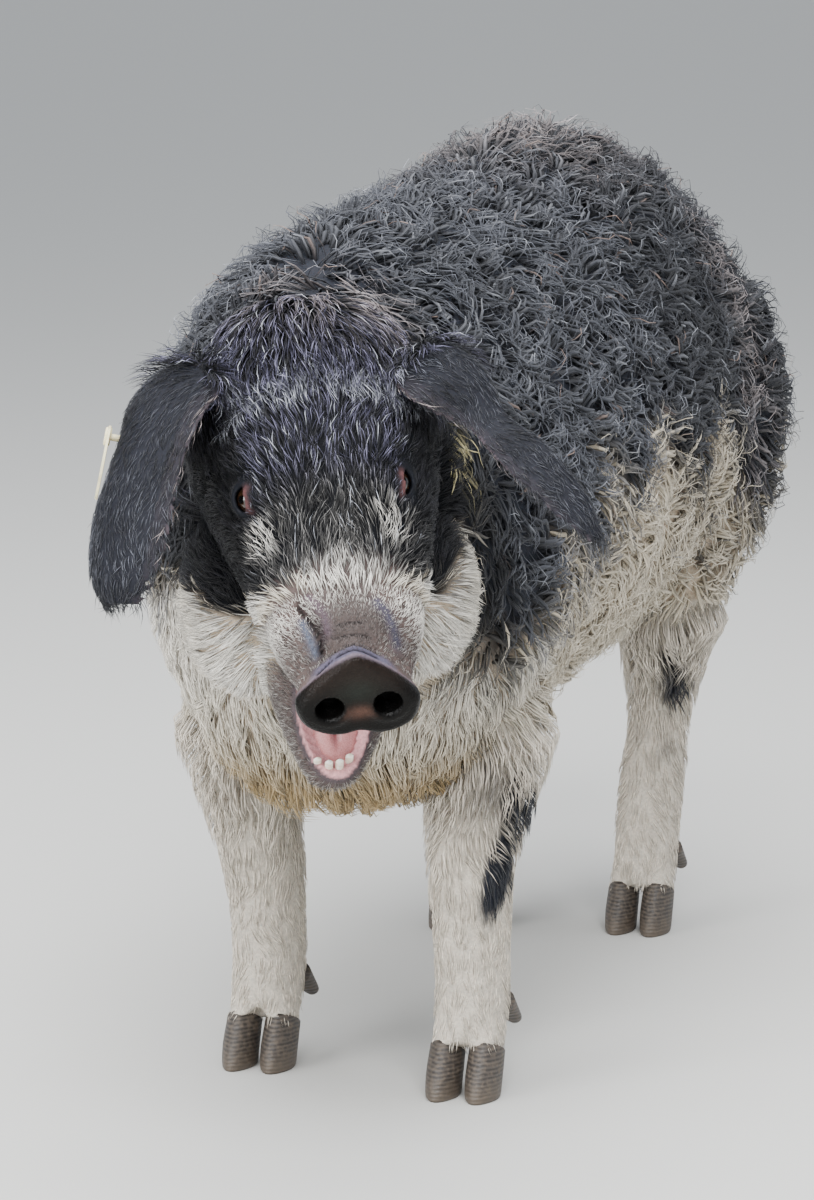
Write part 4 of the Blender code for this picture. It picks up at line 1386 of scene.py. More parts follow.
        # neutral between the eyes, bluish on the forehead
        neutral = face.mean(axis=1, keepdims=True) * np.array((1.03, 1.0, 0.97))
        face = mix(neutral, face, ramp(hy, -0.14, -0.17))
        face = np.where(pick > 0.96, SILVER_TIP, face)
        tip_dark = either(regions == Region.FACE, face, tip_dark)
        # painted shadow under the ears, over the black hair of the face's sides
        tip_dark = mix(tip_dark, EAR_TIP * 0.045, self.shade(h))
        tip_dark = mix(tip_dark, CREST_TIP, self.crest(points) * (chance.random(count) < 0.7))
        cream = mix(CREAM_TIP * 0.8, CREAM_TIP, chance.random(count))
        white = (regions == Region.CHEEK) | (regions == Region.MUZZLE)
        pale = mix(WHITE_TIP * 0.86, WHITE_TIP, chance.random(count))
        pale = mix(pale, CREAM_TIP * 0.95, 0.7 * ramp(np.abs(hx), 0.07, 0.115))
        cream = either(white, pale, cream)
        throat = ramp(own[:, 1], 0.05, -0.06) * ramp(points[:, 2], 0.345, 0.295)
        cream = mix(cream, WHITE_TIP, 0.6 * ramp(points[:, 2], 0.33, 0.42) * (regions == Region.THROAT))
        cream = mix(cream, TAN_TIP, throat * (regions == Region.THROAT))
        cream = mix(cream, TAN_TIP, 0.75 * ramp(hz, -0.105, -0.15) * (regions == Region.CHEEK))
        legs = mix(LEG_TIP * 0.8, LEG_TIP, chance.random(count))
        shade = ramp(waves(points, 0.05, 31), 0.1, 1.1) * 0.3
        legs = mix(legs, BROWN_TIP, shade)
        cream = either(regions == Region.LEG, legs, cream)
        patch = self.leg_patch(points)
        cream = mix(cream, DARK_TIP * 0.35, patch)
        tips = mix(cream, tip_dark, dark)
        # roots are darker than tips: for the dark hair its own colour, for the pale hair painted shade deep
        # in the coat
        roots = mix(CREAM_ROOT * 0.95, DARK_ROOT, np.maximum(dark, patch))
        black = np.where((regions == Region.FACE), 0.6, 0.0) * dark
        # roots near black on the face, with painted shadow under the ears
        roots = mix(roots, FACE_DARK * 0.4, np.maximum(black, self.shade(h) * dark))
        roots = either(regions == Region.CHEEK, mix(WHITE_TIP * 0.68, DARK_ROOT, dark), roots)
        roots = either(regions == Region.THROAT, tips * 0.66, roots)
        roots = either(regions == Region.LEG, mix(LEG_TIP * 0.64, DARK_ROOT, patch), roots)
        muzzle = regions == Region.MUZZLE
        sides = mix(BRISTLE_BROWN * 1.3, WHITE_TIP * 0.8, chance.random(count) ** 2.2)
        grey = mix(sides, mix(BRISTLE_BROWN * 0.7, BRISTLE_BROWN * 2.0, chance.random(count)), self.dorsum(h))
        under = BRISTLE_BROWN * 0.9
        # hair on the folds takes their near-black painted shade, hair on the hollow and the ridges their own
        # colours
        for mark in MUZZLE_MARKS:
            near = self.marks(h, (mark,))
            grey = mix(grey, linear(mark[2]) * 1.5, near * 0.85)
            under = mix(under, linear(mark[2]), near)
        tips = either(muzzle, mix(grey, WHITE_TIP, self.fringe(h)), tips)
        roots = either(muzzle, mix(under, WHITE_TIP * 0.7, self.fringe(h)), roots)
        fringe = self.fringe(h) * (regions == Region.FACE)
        tips = mix(tips, WHITE_TIP, fringe)
        roots = mix(roots, WHITE_TIP * 0.68, fringe)
        tear = self.tear(h) * (regions == Region.FACE) * (chance.random(count) < 0.75)
        tips = mix(tips, WHITE_TIP, tear)
        roots = mix(roots, WHITE_TIP * 0.6, tear)
        ridge = hump(hy, -0.232, 0.016) * (np.abs(hx) < 0.075) * (hz > 0.08)
        tips = mix(tips, SILVER_TIP, 0.75 * ridge * (regions == Region.FACE) * (chance.random(count) < 0.5))
        ear = regions == Region.EAR
        soft = np.clip(0.55 + 0.45 * waves(points, 0.022, 61), 0.1, 1.3)[:, None]
        furred = mix(EAR_TIP * 0.24, EAR_TIP * 1.3, chance.random(count) ** 2) * soft
        _, share, _ = self.ears(points)
        rim = ear * ramp(np.abs(share[:, 1]), 0.8, 0.95) * (share[:, 0] < 0.85)
        rim = rim * (chance.random(count) < 0.45)
        tips = either(ear, mix(furred, CREST_TIP * 0.6, rim), tips)
        roots = either(ear, EAR_HIDE * 0.9, roots)
        # a yellowed bunch at the left of the head
        bunch = blob(h, (-0.117, -0.283, -0.022), (0.018, 0.02, 0.018), 2)
        tips = mix(tips, YELLOW_TIP, bunch)
        roots = mix(roots, YELLOW_TIP * 0.6, bunch)
        return roots, tips

    def leg_patch(self, points: Rows) -> Rows:
        """1 on the dark patches of the legs.

        Args:
            points: places, one a row.

        Returns:
            A number a place.
        """
        own = behind(points)
        total = np.zeros(len(points))
        for x, y, z, width, height in (
            (0.15, -0.01, 0.262, 0.03, 0.03), (0.142, -0.025, 0.195, 0.024, 0.04),
            (-0.135, 0.07, 0.225, 0.026, 0.04), (0.13, 0.7, 0.24, 0.028, 0.05),
            (-0.13, 0.69, 0.26, 0.03, 0.045),
        ):
            total += blob(own, (x, y, z), (width * 1.3, width, height))
        return ramp(total + 0.25 * waves(points, 0.02, 41), 0.3, 0.62)

    def tone(self, points: Rows) -> Rows:
        """How light the dark wool is: lighter on the shoulder and the middle, darker on the hindquarter.

        Args:
            points: places, one a row.

        Returns:
            A number a place, near 1 for middling wool.
        """
        own = behind(points)
        rear = ramp(own[:, 1] + 0.06 * waves(points, 0.09, 71), 0.3, 0.42)
        # painted shade: the neck just behind the head is darker, most on its sides below the ears
        lower = ramp(points[:, 2], 0.62, 0.54)
        near = self.nape(points) * (0.45 + 0.25 * lower)
        return np.maximum(1.06 - 0.62 * rear - near, 0.2) * (1 + 0.2 * waves(points, 0.045, 72))

    def shade(self, h: Rows) -> Rows:
        """1 where the coat is painted near black on the face's sides and under the ears: partly the hair's
        own black, partly painted shadow of the ears.

        Args:
            h: places in the head's frame.

        Returns:
            A number a place.
        """
        hx, hy, hz = h.T
        side = np.abs(hx)
        # the face's sides: black hair, with painted shade over it
        face = ramp(side, 0.052, 0.068) * ramp(hz, 0.105, 0.08) * ramp(hy, -0.085, -0.105)
        face *= ramp(hy, -0.3, -0.25) * ramp(side, 0.17, 0.14)
        # painted shadow under the ears
        under = np.exp(-(((hy + 0.265) / 0.085) ** 2) - ((hz + 0.01) / 0.075) ** 2)
        under *= ramp(side, 0.08, 0.1) * ramp(side, 0.21, 0.17)
        return np.clip(face + under, 0, 1) * 0.92

    def fringe(self, h: Rows) -> Rows:
        """1 on the white fringe across the bridge and its run down to the cheeks.

        Args:
            h: places in the head's frame.

        Returns:
            A number a place.
        """
        hx, hy, hz = h.T
        line = along_curve(self.fringe_line, hx)
        return np.exp(-(((hy - line) / 0.0155) ** 2)) * ramp(hz, -0.06, 0.02)

    def tear(self, h: Rows) -> Rows:
        """1 on the white tufts below the eyes' inner corners.

        Args:
            h: places in the head's frame.

        Returns:
            A number a place.
        """
        total = np.zeros(len(h))
        for place in self.tears:
            total += blob(h, place, (0.0105, 0.0165, 0.014), 1.5)
        return total

    def skin(self, points: Rows, regions: Rows) -> tuple[Rows, Rows]:
        """Colours of the bare skin.

        Args:
            points: the skin's corners.
            regions: the region of each.

        Returns:
            The colour and the wetness of each.
        """
        h = self.head.inside(points)
        hx, hy, hz = h.T
        dark = np.maximum(self.dark(points), self.leg_patch(points))
        pale = either(regions == Region.LEG, LEG_TIP * 0.55, PALE_HIDE * 0.75)
        found = mix(pale, DARK_HIDE, dark)
        head = ramp((points - self.cut_place) @ self.cut_way, 0.01, -0.01)
        found = mix(found, DARK_HIDE * 0.22, head * dark)
        muzzle = head * ramp(hy, -0.11, -0.085) * ramp(hz, -0.17, -0.14)
        blotch = ramp(waves(points, 0.012, 12), -0.2, 0.9)
        found = mix(found, mix(MAUVE_HIDE, BRISTLE_BROWN * 0.6, blotch * 0.6), muzzle)
        back = head * ramp(np.abs(hx - 0.002), 0.03, 0.018) * ramp(hz, 0.02, 0.032)
        found = mix(found, BRISTLE_BROWN * 0.75, back * muzzle * 0.8)
        band = head * ramp(hy, -0.028, -0.02) * ramp(hz, 0.005, 0.02)
        found = mix(found, BLUISH_HIDE, band * 0.7)
        # the folds get their near-black painted shade here, the hollow and the ridges their own colours
        for line, width, colour in MUZZLE_MARKS:
            near = np.exp(-((line_distance(h * (1, 1, 0), np.array(line)) / width) ** 2))
            near = near * head * ramp(hz, 0.0, 0.01) * ramp(hy, -0.11, -0.09)
            found = mix(found, linear(colour), near)
        # a pale line along the disc's upper rim: partly paler skin, partly a painted highlight on the rim's
        # edge
        rim = head * ramp(hy, -0.015, -0.0135) * ramp(hz, -0.05, -0.03)
        found = mix(found, RIM_HIDE_AND_HIGHLIGHT, rim * 0.7)
        disc = head * ramp(hy, -0.0135, -0.0105) * ramp(hz, -0.06, -0.052)
        # the disc's top is lighter olive-brown and its middle greenish: partly its own colour, partly painted
        # highlight of the light from above on the wet skin
        tone = mix(DISC_HIDE, linear("#1d1714"), ramp(hz, -0.006, 0.02))
        green_highlight = np.exp(-((hx / 0.016) ** 2) - ((hz - 0.006) / 0.01) ** 2)
        tone = mix(tone, linear("#20231f"), green_highlight * 0.8)
        pink = np.exp(-((hx / 0.012) ** 2) - ((hz + 0.013) / 0.0055) ** 2)
        tone = mix(tone, DISC_PINK, pink)
        found = mix(found, tone, disc)
        # painted shade: the nostrils' hollows and their edges are darkened
        for side in (1, -1):
            gap = (h - np.array(mirrored(HOLLOWS.nostril, side))) / np.array(HOLLOWS.nostril_radii)
            found = mix(found, DISC_HIDE * 0.35, head * ramp(np.linalg.norm(gap, axis=1), 1.22, 1.04))
        mouth = self.mouth(h)
        lip = head * ramp(mouth, 1.32, 1.14) * (hy > -0.16) * ramp(hz, -0.03, -0.045)
        found = mix(found, LIP_HIDE, lip * (1 - disc))
        # inside the mouth the pink is painted darker deeper in: painted shade in the hollow
        inside = head * ramp(mouth, 1.1, 1.03) * ramp(hy, -0.002, -0.006)
        deep = ramp(hy, -0.055, -0.095) + ramp(hz, -0.085, -0.05) * 0.45
        found = mix(found, mix(MOUTH_PINK, MOUTH_PAINTED_SHADE, np.clip(deep, 0, 1)), inside)
        wet = np.clip(disc * 0.75 + inside, 0, 1)
        ear = regions == Region.EAR
        _, share, _ = self.ears(points)
        edge = ramp(np.abs(share[:, 1]), 0.78, 0.98)
        found = either(ear, mix(EAR_HIDE, EAR_RIM, edge * 0.8), found)
        for side in (1, -1):
            lids = self.slit(h, side)
            found = mix(found, DARK_HIDE * 0.45, ramp(lids, 1.5, 1.0) * head)
            # the pink inside of the upper lid shows along the slit's inner side
            local = within(h, EYE.frame(side))
            over, along = (local[:, 2] * side - 0.0062) / 0.0026, (local[:, 1] - 0.001) / 0.0105
            inner = np.exp(-(over**2) - along**4)
            found = mix(found, EYE_PINK, inner * (local[:, 0] > 0.004) * (np.abs(local[:, 0]) < 0.022))
            ball_gap = np.linalg.norm(h - np.array(EYE.place(side)), axis=1)
            wet = np.maximum(wet, ramp(ball_gap, 0.0165, 0.014) * 0.7)
        return found, wet

    def lie(self, points: Rows, normals: Rows, regions: Rows) -> Rows:
        """The way in which the coat lies, along the skin.

        Args:
            points: the tufts' roots.
            normals: the skin's normals there.
            regions: the region of each.

        Returns:
            A direction for each root, at right angles to the normal.
        """
        _, y, z = behind(points).T
        h = self.head.inside(points)
        hx, hy, hz = h.T
        ways = np.tile(np.array((0.0, 1.0, -0.55)), (len(points), 1))
        chest = ramp(y, 0.02, -0.12)
        ways = mix(ways, np.array((0.0, 0.35, -1.0)), chest)
        rear = ramp(y, 0.8, 0.92)
        ways = mix(ways, np.array((0.0, 0.3, -1.0)), rear)
        # hair of the nape falls forward over the poll
        gap = (points - self.cut_place) @ self.cut_way
        bangs = ramp(gap, 0.075, 0.02) * ramp(z, 0.6, 0.66) * (y < -0.05)
        ways = mix(ways, np.array((0.15, -1.0, -0.3)), bangs)
        leg = regions == Region.LEG
        ways[leg] = (0.0, 0.15, -1.0)
        # up the face from the snout, down the forehead from the poll, and outwards on both
        up_face = columns(hx * 7.0, -1.0, 0.35)
        down_brow = columns(hx * 3.0, 1.0, -0.2)
        face = mix(up_face, down_brow, ramp(hy, -0.222, -0.24))
        sides = columns(np.sign(hx) * 0.2, -1.0, -0.55)
        face = mix(face, sides, ramp(hz, 0.055, 0.01))
        cheek = columns(np.sign(hx) * 0.25, -0.8, -0.75)
        chosen = either(regions == Region.CHEEK, cheek, face)
        muzzle = columns(hx * 9.0, -1.0, hz * 5.0)
        chosen = either(regions == Region.MUZZLE, muzzle, chosen)
        on_head = (regions == Region.FACE) | (regions == Region.CHEEK) | (regions == Region.MUZZLE)
        ways[on_head] = self.head.outside(chosen)[on_head]
        ear = regions == Region.EAR
        _, _, tipwards = self.ears(points[ear])
        ways[ear] = tipwards
        tail = regions == Region.TAIL
        ways[tail] = (0.0, 0.05, -1.0)
        lift = (ways * normals).sum(axis=1, keepdims=True)
        ways = ways - normals * lift * np.where(tail, 0.5, 1.0)[:, None]
        return unit(ways)

    def unwrap(self, points: Rows, regions: Rows) -> Rows:
        """The skin's own unwrap: each form unrolled round its axis into a field of its own.

        Args:
            points: places on the skin.
            regions: the region of each.

        Returns:
            Two numbers from 0 to 1 for each place.
        """
        own = behind(points)
        turn = np.arctan2(own[:, 2] - 0.51, own[:, 0]) / math.tau + 0.5
        found = np.stack([0.01 + 0.52 * turn, 0.02 + 0.96 * np.clip((own[:, 1] + 0.36) / 1.42, 0, 1)], 1)
        h = self.head.inside(points)
        turn = np.arctan2(h[:, 2] + 0.02, h[:, 0]) / math.tau + 0.5
        head = np.stack([0.55 + 0.42 * turn, 0.52 + 0.46 * np.clip(-h[:, 1] / 0.42, 0, 1)], 1)
        on_head = (regions >= Region.FACE) & (regions <= Region.MUZZLE)
        found[on_head] = head[on_head]
        for i, leg in enumerate(LEGS):
            foot = Vector((BODY_X + leg.side * leg.foot_out, leg.foot_y))
            rows = (regions == Region.LEG) & (np.sign(own[:, 0]) == leg.side)
            rows &= (own[:, 1] < 0.3) == (i < 2)
            turn = np.arctan2(points[:, 1] - foot.y, points[:, 0] - foot.x) / math.tau + 0.5
            field = np.stack([0.55 + 0.1 * i + 0.09 * turn, 0.2 + 0.3 * np.clip(own[:, 2] / 0.34, 0, 1)], 1)
            found[rows] = field[rows]
        ear = regions == Region.EAR
        _, share, _ = self.ears(points[ear])
        left = (h[ear][:, 0] < 0) * 0.14
        found[ear] = np.stack([0.56 + left + 0.06 * (share[:, 1] + 1), 0.02 + 0.16 * share[:, 0]], 1)
        return found


@dataclass
class Coat:
    """The tufts over the skin, as closed meshes in pieces of a limited size; fewer for quick trials."""

    skin: Thing
    hide: Hide
    quick: bool
    seed: int = 11
    # How far the leader of a lock may be, and the triangles that a piece may hold
    lock_reach: float = 0.016
    piece_triangles: int = 190000
    # The body has flat locks that lie close and fine curls over them. The numbers: rings, density, length,
    # width, depth, curl, turns, stray, swirl, gather, members
    layers: tuple = (
        (Region.BODY, "locks", Growth(4, 11200, 0.038, 0.0053, 0.016, 0.005, 0.8, 0.45, 1.3, 0.35, 4)),
        (Region.BODY, "curls", Growth(5, 9100, 0.038, 0.00118, 0.024, 0.006, 1.3, 0.8, 1.3, 0.4, 4)),
        (Region.THROAT, "hair", Growth(3, 71000, 0.038, 0.0014, 0.01, 0.0022, 0.6, 0.22, 0.4, 0.4, 8)),
        (Region.LEG, "hair", Growth(2, 45500, 0.028, 0.0018, 0.006, 0.001, 0.4, 0.16, 0.3, 0.4, 7)),
        (Region.FACE, "hair", Growth(3, 148000, 0.0205, 0.00084, 0.0052, 0.0016, 0.5, 0.3, 0.35, 0.2, 4)),
        (Region.CHEEK, "hair", Growth(3, 132000, 0.03, 0.00107, 0.006, 0.0014, 0.5, 0.18, 0.3, 0.35, 8)),
        (Region.MUZZLE, "hair", Growth(2, 335000, 0.0085, 0.00062, 0.0026, 0.0003, 0.3, 0.42, 0.2, 0.0, 1)),
        (Region.EAR, "hair", Growth(2, 108000, 0.014, 0.00076, 0.0026, 0.0006, 0.3, 0.3, 0.3, 0.15, 3)),
        (Region.TAIL, "hair", Growth(5, 41000, 0.034, 0.0023, 0.008, 0.003, 1.0, 0.2, 0.1, 0.4, 5)),
    )

    def __post_init__(self) -> None:
        """Reads the skin's triangles."""
        self.share = 0.35 if self.quick else 1.0
        self.chance = np.random.default_rng(self.seed)
        data = self.skin.data
        data.calc_loop_triangles()
        corners = np.empty(len(data.loop_triangles) * 3, np.int32)
        data.loop_triangles.foreach_get("vertices", corners)
        self.corners = corners.reshape(-1, 3)
        self.points = read_points(self.skin)
        self.normals = read_normals(self.skin)
        a, b, c = (self.points[self.corners[:, k]] for k in range(3))
        self.areas = np.linalg.norm(np.cross(b - a, c - a), axis=1) / 2
        self.regions = self.hide.regions((a + b + c) / 3)

    def roots(self, region: Region, density: float) -> tuple[Rows, Rows]:
        """Scatters roots evenly over a region of the skin.

        Args:
            region: the region.
            density: roots a square metre.

        Returns:
            Places and normals, in the order of the distance along the body.
        """
        own = self.regions == region
        corners = self.corners[own]
        weight = np.cumsum(self.areas[own] * density * self.share)
        count = int(weight[-1])
        marks = (np.arange(count) + self.chance.random(count)) * (weight[-1] / count)
        picks = np.minimum(np.searchsorted(weight, marks), len(weight) - 1)
        r1, r2 = np.sqrt(self.chance.random(count)), self.chance.random(count)
        shares = np.stack([1 - r1, r1 * (1 - r2), r1 * r2], 1)[:, :, None]
        places = (self.points[corners[picks]] * shares).sum(axis=1)
        normals = unit((self.normals[corners[picks]] * shares).sum(axis=1))
        order = np.argsort(places[:, 1])
        return places[order], normals[order]

    def build(self) -> list[Thing]:
        """Grows every region's tufts.

        Returns:
            The coat's pieces.
        """
        made = []
        for region, layer, growth in self.layers:
            places, normals = self.roots(region, growth.density)
            lies = self.hide.lie(places, normals, np.full(len(places), region))
            triangles = 6 * (growth.rings - 1) + 4
            pieces = max(1, math.ceil(len(places) * triangles / self.piece_triangles))
            for i, part in enumerate(np.array_split(np.arange(len(places)), pieces)):
                name = f"coat_{region.name.lower()}_{layer}_{i + 1}"
                made.append(self.piece(name, region, growth, places[part], normals[part], lies[part]))
        return made

    def locks(self, places: Rows, members: int) -> Rows:
        """Gathers tufts into locks.

        Args:
            places: the tufts' roots.
            members: the rough number of tufts in a lock.

        Returns:
            For each tuft the number of the one that leads its lock.
        """
        if members == 1:
            return np.arange(len(places))
        leads = self.chance.choice(len(places), max(len(places) // members, 1), replace=False)
        tree = KDTree(len(leads))
        for i in leads:
            tree.insert(places[i], int(i))
        tree.balance()
        found = np.arange(len(places))
        for i, place in enumerate(places):
            _, lead, gap = tree.find(place)
            if gap < self.lock_reach:
                found[i] = lead
        return found

    def sizes(self, region: Region, growth: Growth, places: Rows) -> tuple[Rows, ...]:
        """Lengths, widths, depths and curls of a region's tufts, varied as the real ones are.

        Args:
            region: the region that they grow in.
            growth: how they grow.
            places: the tufts' roots.

        Returns:
            Four arrays with a number a tuft, in metres.
        """
        count, hide = len(places), self.hide
        length = growth.length * self.chance.uniform(0.75, 1.2, count)
        width = growth.width * self.chance.uniform(0.75, 1.25, count)
        depth = growth.depth * self.chance.uniform(0.5, 1.1, count)
        curl = growth.curl * self.chance.uniform(0.4, 1.3, count)
        own = behind(places)
        h = hide.head.inside(places)
        if region == Region.LEG:
            low = ramp(places[:, 2], 0.3, 0.1)
            length *= 1 - 0.45 * low
            width *= 1 - 0.35 * low
            depth *= 1 - 0.55 * low
            curl *= 1 - low
            depth += 0.018 * ramp(places[:, 2], 0.2, 0.33)
            length += 0.018 * ramp(places[:, 2], 0.2, 0.33)
        if region == Region.FACE:
            poll = ramp(h[:, 1], -0.2, -0.29)
            length *= 1 + 0.9 * poll
            width *= 1 + 0.3 * poll
            depth *= 1 + 1.0 * poll
            near = np.minimum(hide.slit(h, 1), hide.slit(h, -1))
            short = np.clip((near - 1.0) / 1.6, 0.0, 1.0)
            length *= 0.22 + 0.78 * short
            depth *= 0.35 + 0.65 * short
            fringe = np.maximum(hide.fringe(h), hide.tear(h))
            length *= 1 - 0.15 * fringe
            depth *= 1 + 0.6 * fringe
        if region == Region.BODY:
            depth *= 1 + 0.22 * waves(places, 0.022, 53)
            pale = 1 - hide.dark(places)
            depth *= 1 - 0.35 * pale
            curl *= 1 - 0.4 * pale
            chest = ramp(own[:, 1], 0.02, -0.08) * ramp(places[:, 2], 0.42, 0.36)
            curl *= 1 - 0.65 * chest
            length *= 1 + 0.15 * chest
            crest = hide.crest(places)
            length *= 1 + 0.45 * crest
            near = hide.nape(places)
            depth *= 1 - 0.45 * near
            curl *= 1 - 0.5 * near
            belly = ramp(places[:, 2], 0.36, 0.29)
            depth *= 1 - 0.35 * belly
        if region == Region.THROAT:
            low = ramp(places[:, 2], 0.36, 0.28)
            length *= 1 + 0.4 * low
            depth *= 1 + 1.7 * low
        if region == Region.MUZZLE:
            # bare ridges and folds, thin hair on the snout's back
            length *= 1 - 0.65 * hide.marks(h, MUZZLE_MARKS)
            length *= 1 - 0.3 * hide.dorsum(h)
        if region == Region.EAR:
            _, share, _ = hide.ears(places)
            edge = ramp(np.abs(share[:, 1]), 0.8, 0.98) * (self.chance.random(count) < 0.35)
            length *= 1 + 0.7 * edge
            depth *= 1 + 1.8 * edge
        if region == Region.TAIL:
            end = ramp(places[:, 2], TAIL.root.z - 0.16, TAIL.root.z - 0.22)
            length *= 1 + 2.0 * end
        return length, width, depth, curl

    def piece(
        self, name: str, region: Region, growth: Growth, places: Rows, normals: Rows, lies: Rows
    ) -> Thing:
        """Makes one piece of the coat.

        Args:
            name: the object's name.
            region: the region that it covers.
            growth: how its tufts grow.
            places: the tufts' roots.
            normals: the skin's normals there.
            lies: the coat's lie there.

        Returns:
            The piece, with its colours, strands and bake map.
        """
        count, rings = len(places), growth.rings
        length, width, depth, curl = self.sizes(region, growth, places)
        sway = growth.swirl * (waves(places, 0.032, 51) + 0.6 * waves(places, 0.013, 52))
        sway += growth.stray * self.chance.normal(size=count)
        side = np.cross(normals, lies)
        lies = unit(lies * np.cos(sway)[:, None] + side * np.sin(sway)[:, None])
        phase = self.chance.uniform(0, math.tau, count)
        turns = growth.turns * self.chance.uniform(0.6, 1.3, count) * self.chance.choice((-1, 1), count)
        # the tufts of a lock share its lie and its curl, and their tips gather
        lead = self.locks(places, growth.members)
        lies = unit(mix(lies, lies[lead], np.full(count, 0.7 if growth.gather else 0.0)))
        if region != Region.TAIL:
            lies = unit(lies - normals * (lies * normals).sum(axis=1, keepdims=True))
        side = unit(np.cross(normals, lies))
        phase = phase[lead] + self.chance.normal(size=count) * 0.3
        turns = turns[lead] * self.chance.uniform(0.9, 1.1, count)
        curl = (curl + curl[lead]) / 2
        length = (length + length[lead]) / 2
        depth = (depth + 2 * depth[lead]) / 3
        meet = (places[lead] - places) * growth.gather
        flat = np.sqrt(np.maximum(length**2 - depth**2, (0.3 * length) ** 2))
        steps = np.arange(rings + 1) / rings
        line = np.empty((count, rings + 1, 3))
        for j, t in enumerate(steps):
            angle = math.tau * turns * t + phase
            out = curl * float(ramp(t, 0.0, 0.7))
            rise = depth * math.sin(math.pi * 0.7 * t) - 0.001 + out * np.sin(angle) * 0.6
            line[:, j] = (
                places
                + meet * t
                + lies * (flat * t)[:, None]
                + side * (out * np.cos(angle))[:, None]
                + normals * np.maximum(rise, -0.001)[:, None]
            )
        line[:, :, 2] = np.maximum(line[:, :, 2], 0.004)
        tangent = unit(np.gradient(line, axis=1))
        up = normals[:, None, :]
        over = unit(up - tangent * (up * tangent).sum(axis=2, keepdims=True))
        beside = np.cross(tangent, over)
        swell = np.interp(steps, (0.0, 0.3, 0.65, 1.0), (0.55, 1.0, 0.68, 0.0))
        points = np.empty((count, rings * 3 + 1, 3))
        thick = 0.3 if growth.width > 0.004 else 0.65
        twist = self.chance.uniform(-0.25, 0.25, count)
        for j in range(rings):
            for k in range(3):
                a = twist + math.tau * (k / 3 + 0.25)
                across = beside[:, j] * np.cos(a)[:, None] + over[:, j] * (thick * np.sin(a))[:, None]
                points[:, j * 3 + k] = line[:, j] + across * (width * swell[j] / 2)[:, None]
        points[:, -1] = line[:, -1]
        faces = self.faces(rings)
        stride = rings * 3 + 1
        triangles = (faces[None, :, :] + (np.arange(count) * stride)[:, None, None]).reshape(-1, 3)
        data = bpy.data.meshes.new(name)
        data.vertices.add(count * stride)
        data.vertices.foreach_set("co", points.astype(np.float32).ravel())
        data.loops.add(len(triangles) * 3)
        data.loops.foreach_set("vertex_index", triangles.astype(np.int32).ravel())
        data.polygons.add(len(triangles))
        data.polygons.foreach_set("loop_start", np.arange(0, len(triangles) * 3, 3, dtype=np.int32))
        data.update(calc_edges=True)
        data.shade_smooth()
        self.colour(data, places, region, rings, length, width)
        self.bake_map(data, places, region, rings, triangles)
        LOG.info("%s: %d tufts, %d triangles", name, count, len(triangles))
        return link(name, data)

    def faces(self, rings: int) -> Rows:
        """The triangles of one tuft, from its root's cap to its tip.

        Args:
            rings: rings a tuft.

        Returns:
            Corner numbers, a triangle a row.
        """
        found = [(2, 1, 0)]
        for j in range(rings - 1):
            for k in range(3):
                a, b = j * 3 + k, j * 3 + (k + 1) % 3
                found.extend(((a, b, b + 3), (a, b + 3, a + 3)))
        last, tip = (rings - 1) * 3, rings * 3
        found.extend((last + k, last + (k + 1) % 3, tip) for k in range(3))
        return np.array(found)

    def colour(
        self,
        data: bpy.types.Mesh,
        places: Rows,
        region: Region,
        rings: int,
        length: Rows,
        width: Rows,
    ) -> None:
        """Stores each corner's colour and its place on the tuft, in millimetres round it and along it.

        Args:
            data: the mesh.
            places: the tufts' roots.
            region: the region that they grow in.
            rings: rings a tuft.
            length: the tufts' lengths.
            width: the tufts' widths.
        """
        count = len(places)
        roots, tips = self.hide.coat(places, np.full(count, region), self.chance)
        # each tuft runs from its root's colour to its tip's: partly the hair's own change of colour, partly
        # painted shade deep in the coat
        steps = np.append(np.repeat(np.arange(rings) / rings, 3), 1.0)
        share = ramp(steps, 0.05, 0.85)
        wide = ramp(width, 0.0025, 0.0035)
        tips = mix(tips, roots, 0.5 * wide)
        colours = np.ones((count, len(steps), 4), np.float32)
        for j, part in enumerate(share):
            colours[:, j, :3] = roots * (1 - part) + tips * part
        layer = data.attributes.new("Coat", "FLOAT_COLOR", "POINT")
        layer.data.foreach_set("color", colours.ravel())
        strand = np.empty((count, len(steps), 3), np.float32)
        strand[:, :, 0] = np.append(np.tile((0.0, 1.0, 2.0), rings), 1.0) * (width * 900)[:, None]
        strand[:, :, 1] = steps * (length * 1000)[:, None]
        strand[:, :, 2] = self.chance.uniform(0, 500, count)[:, None]
        layer = data.attributes.new("Strand", "FLOAT_VECTOR", "POINT")
        layer.data.foreach_set("vector", strand.ravel())

    def bake_map(
        self, data: bpy.types.Mesh, places: Rows, region: Region, rings: int, triangles: Rows
    ) -> None:
        """Gives each tuft a small patch at its root's place on the skin's unwrap.

        Args:
            data: the mesh.
            places: the tufts' roots.
            region: the region that they grow in.
            rings: rings a tuft.
            triangles: the mesh's triangles.
        """
        count = len(places)
        middle = self.hide.unwrap(places, np.full(count, region))
        stride = rings * 3 + 1
        offset = np.empty((stride, 2))
        for j in range(rings):
            for k in range(3):
                offset[j * 3 + k] = ((k - 1) * 0.0013, (j / rings - 0.5) * 0.0026)
        offset[-1] = (0.0, 0.0013)
        patch = middle[:, None, :] + offset[None, :, :]
        layer = data.uv_layers.new(name="OFBake")
        layer.data.foreach_set("uv", patch.reshape(-1, 2)[triangles.ravel()].astype(np.float32).ravel())


class Blend(Enum):
    """How one colour goes over another."""

    MIX = "MIX"
    MULTIPLY = "MULTIPLY"


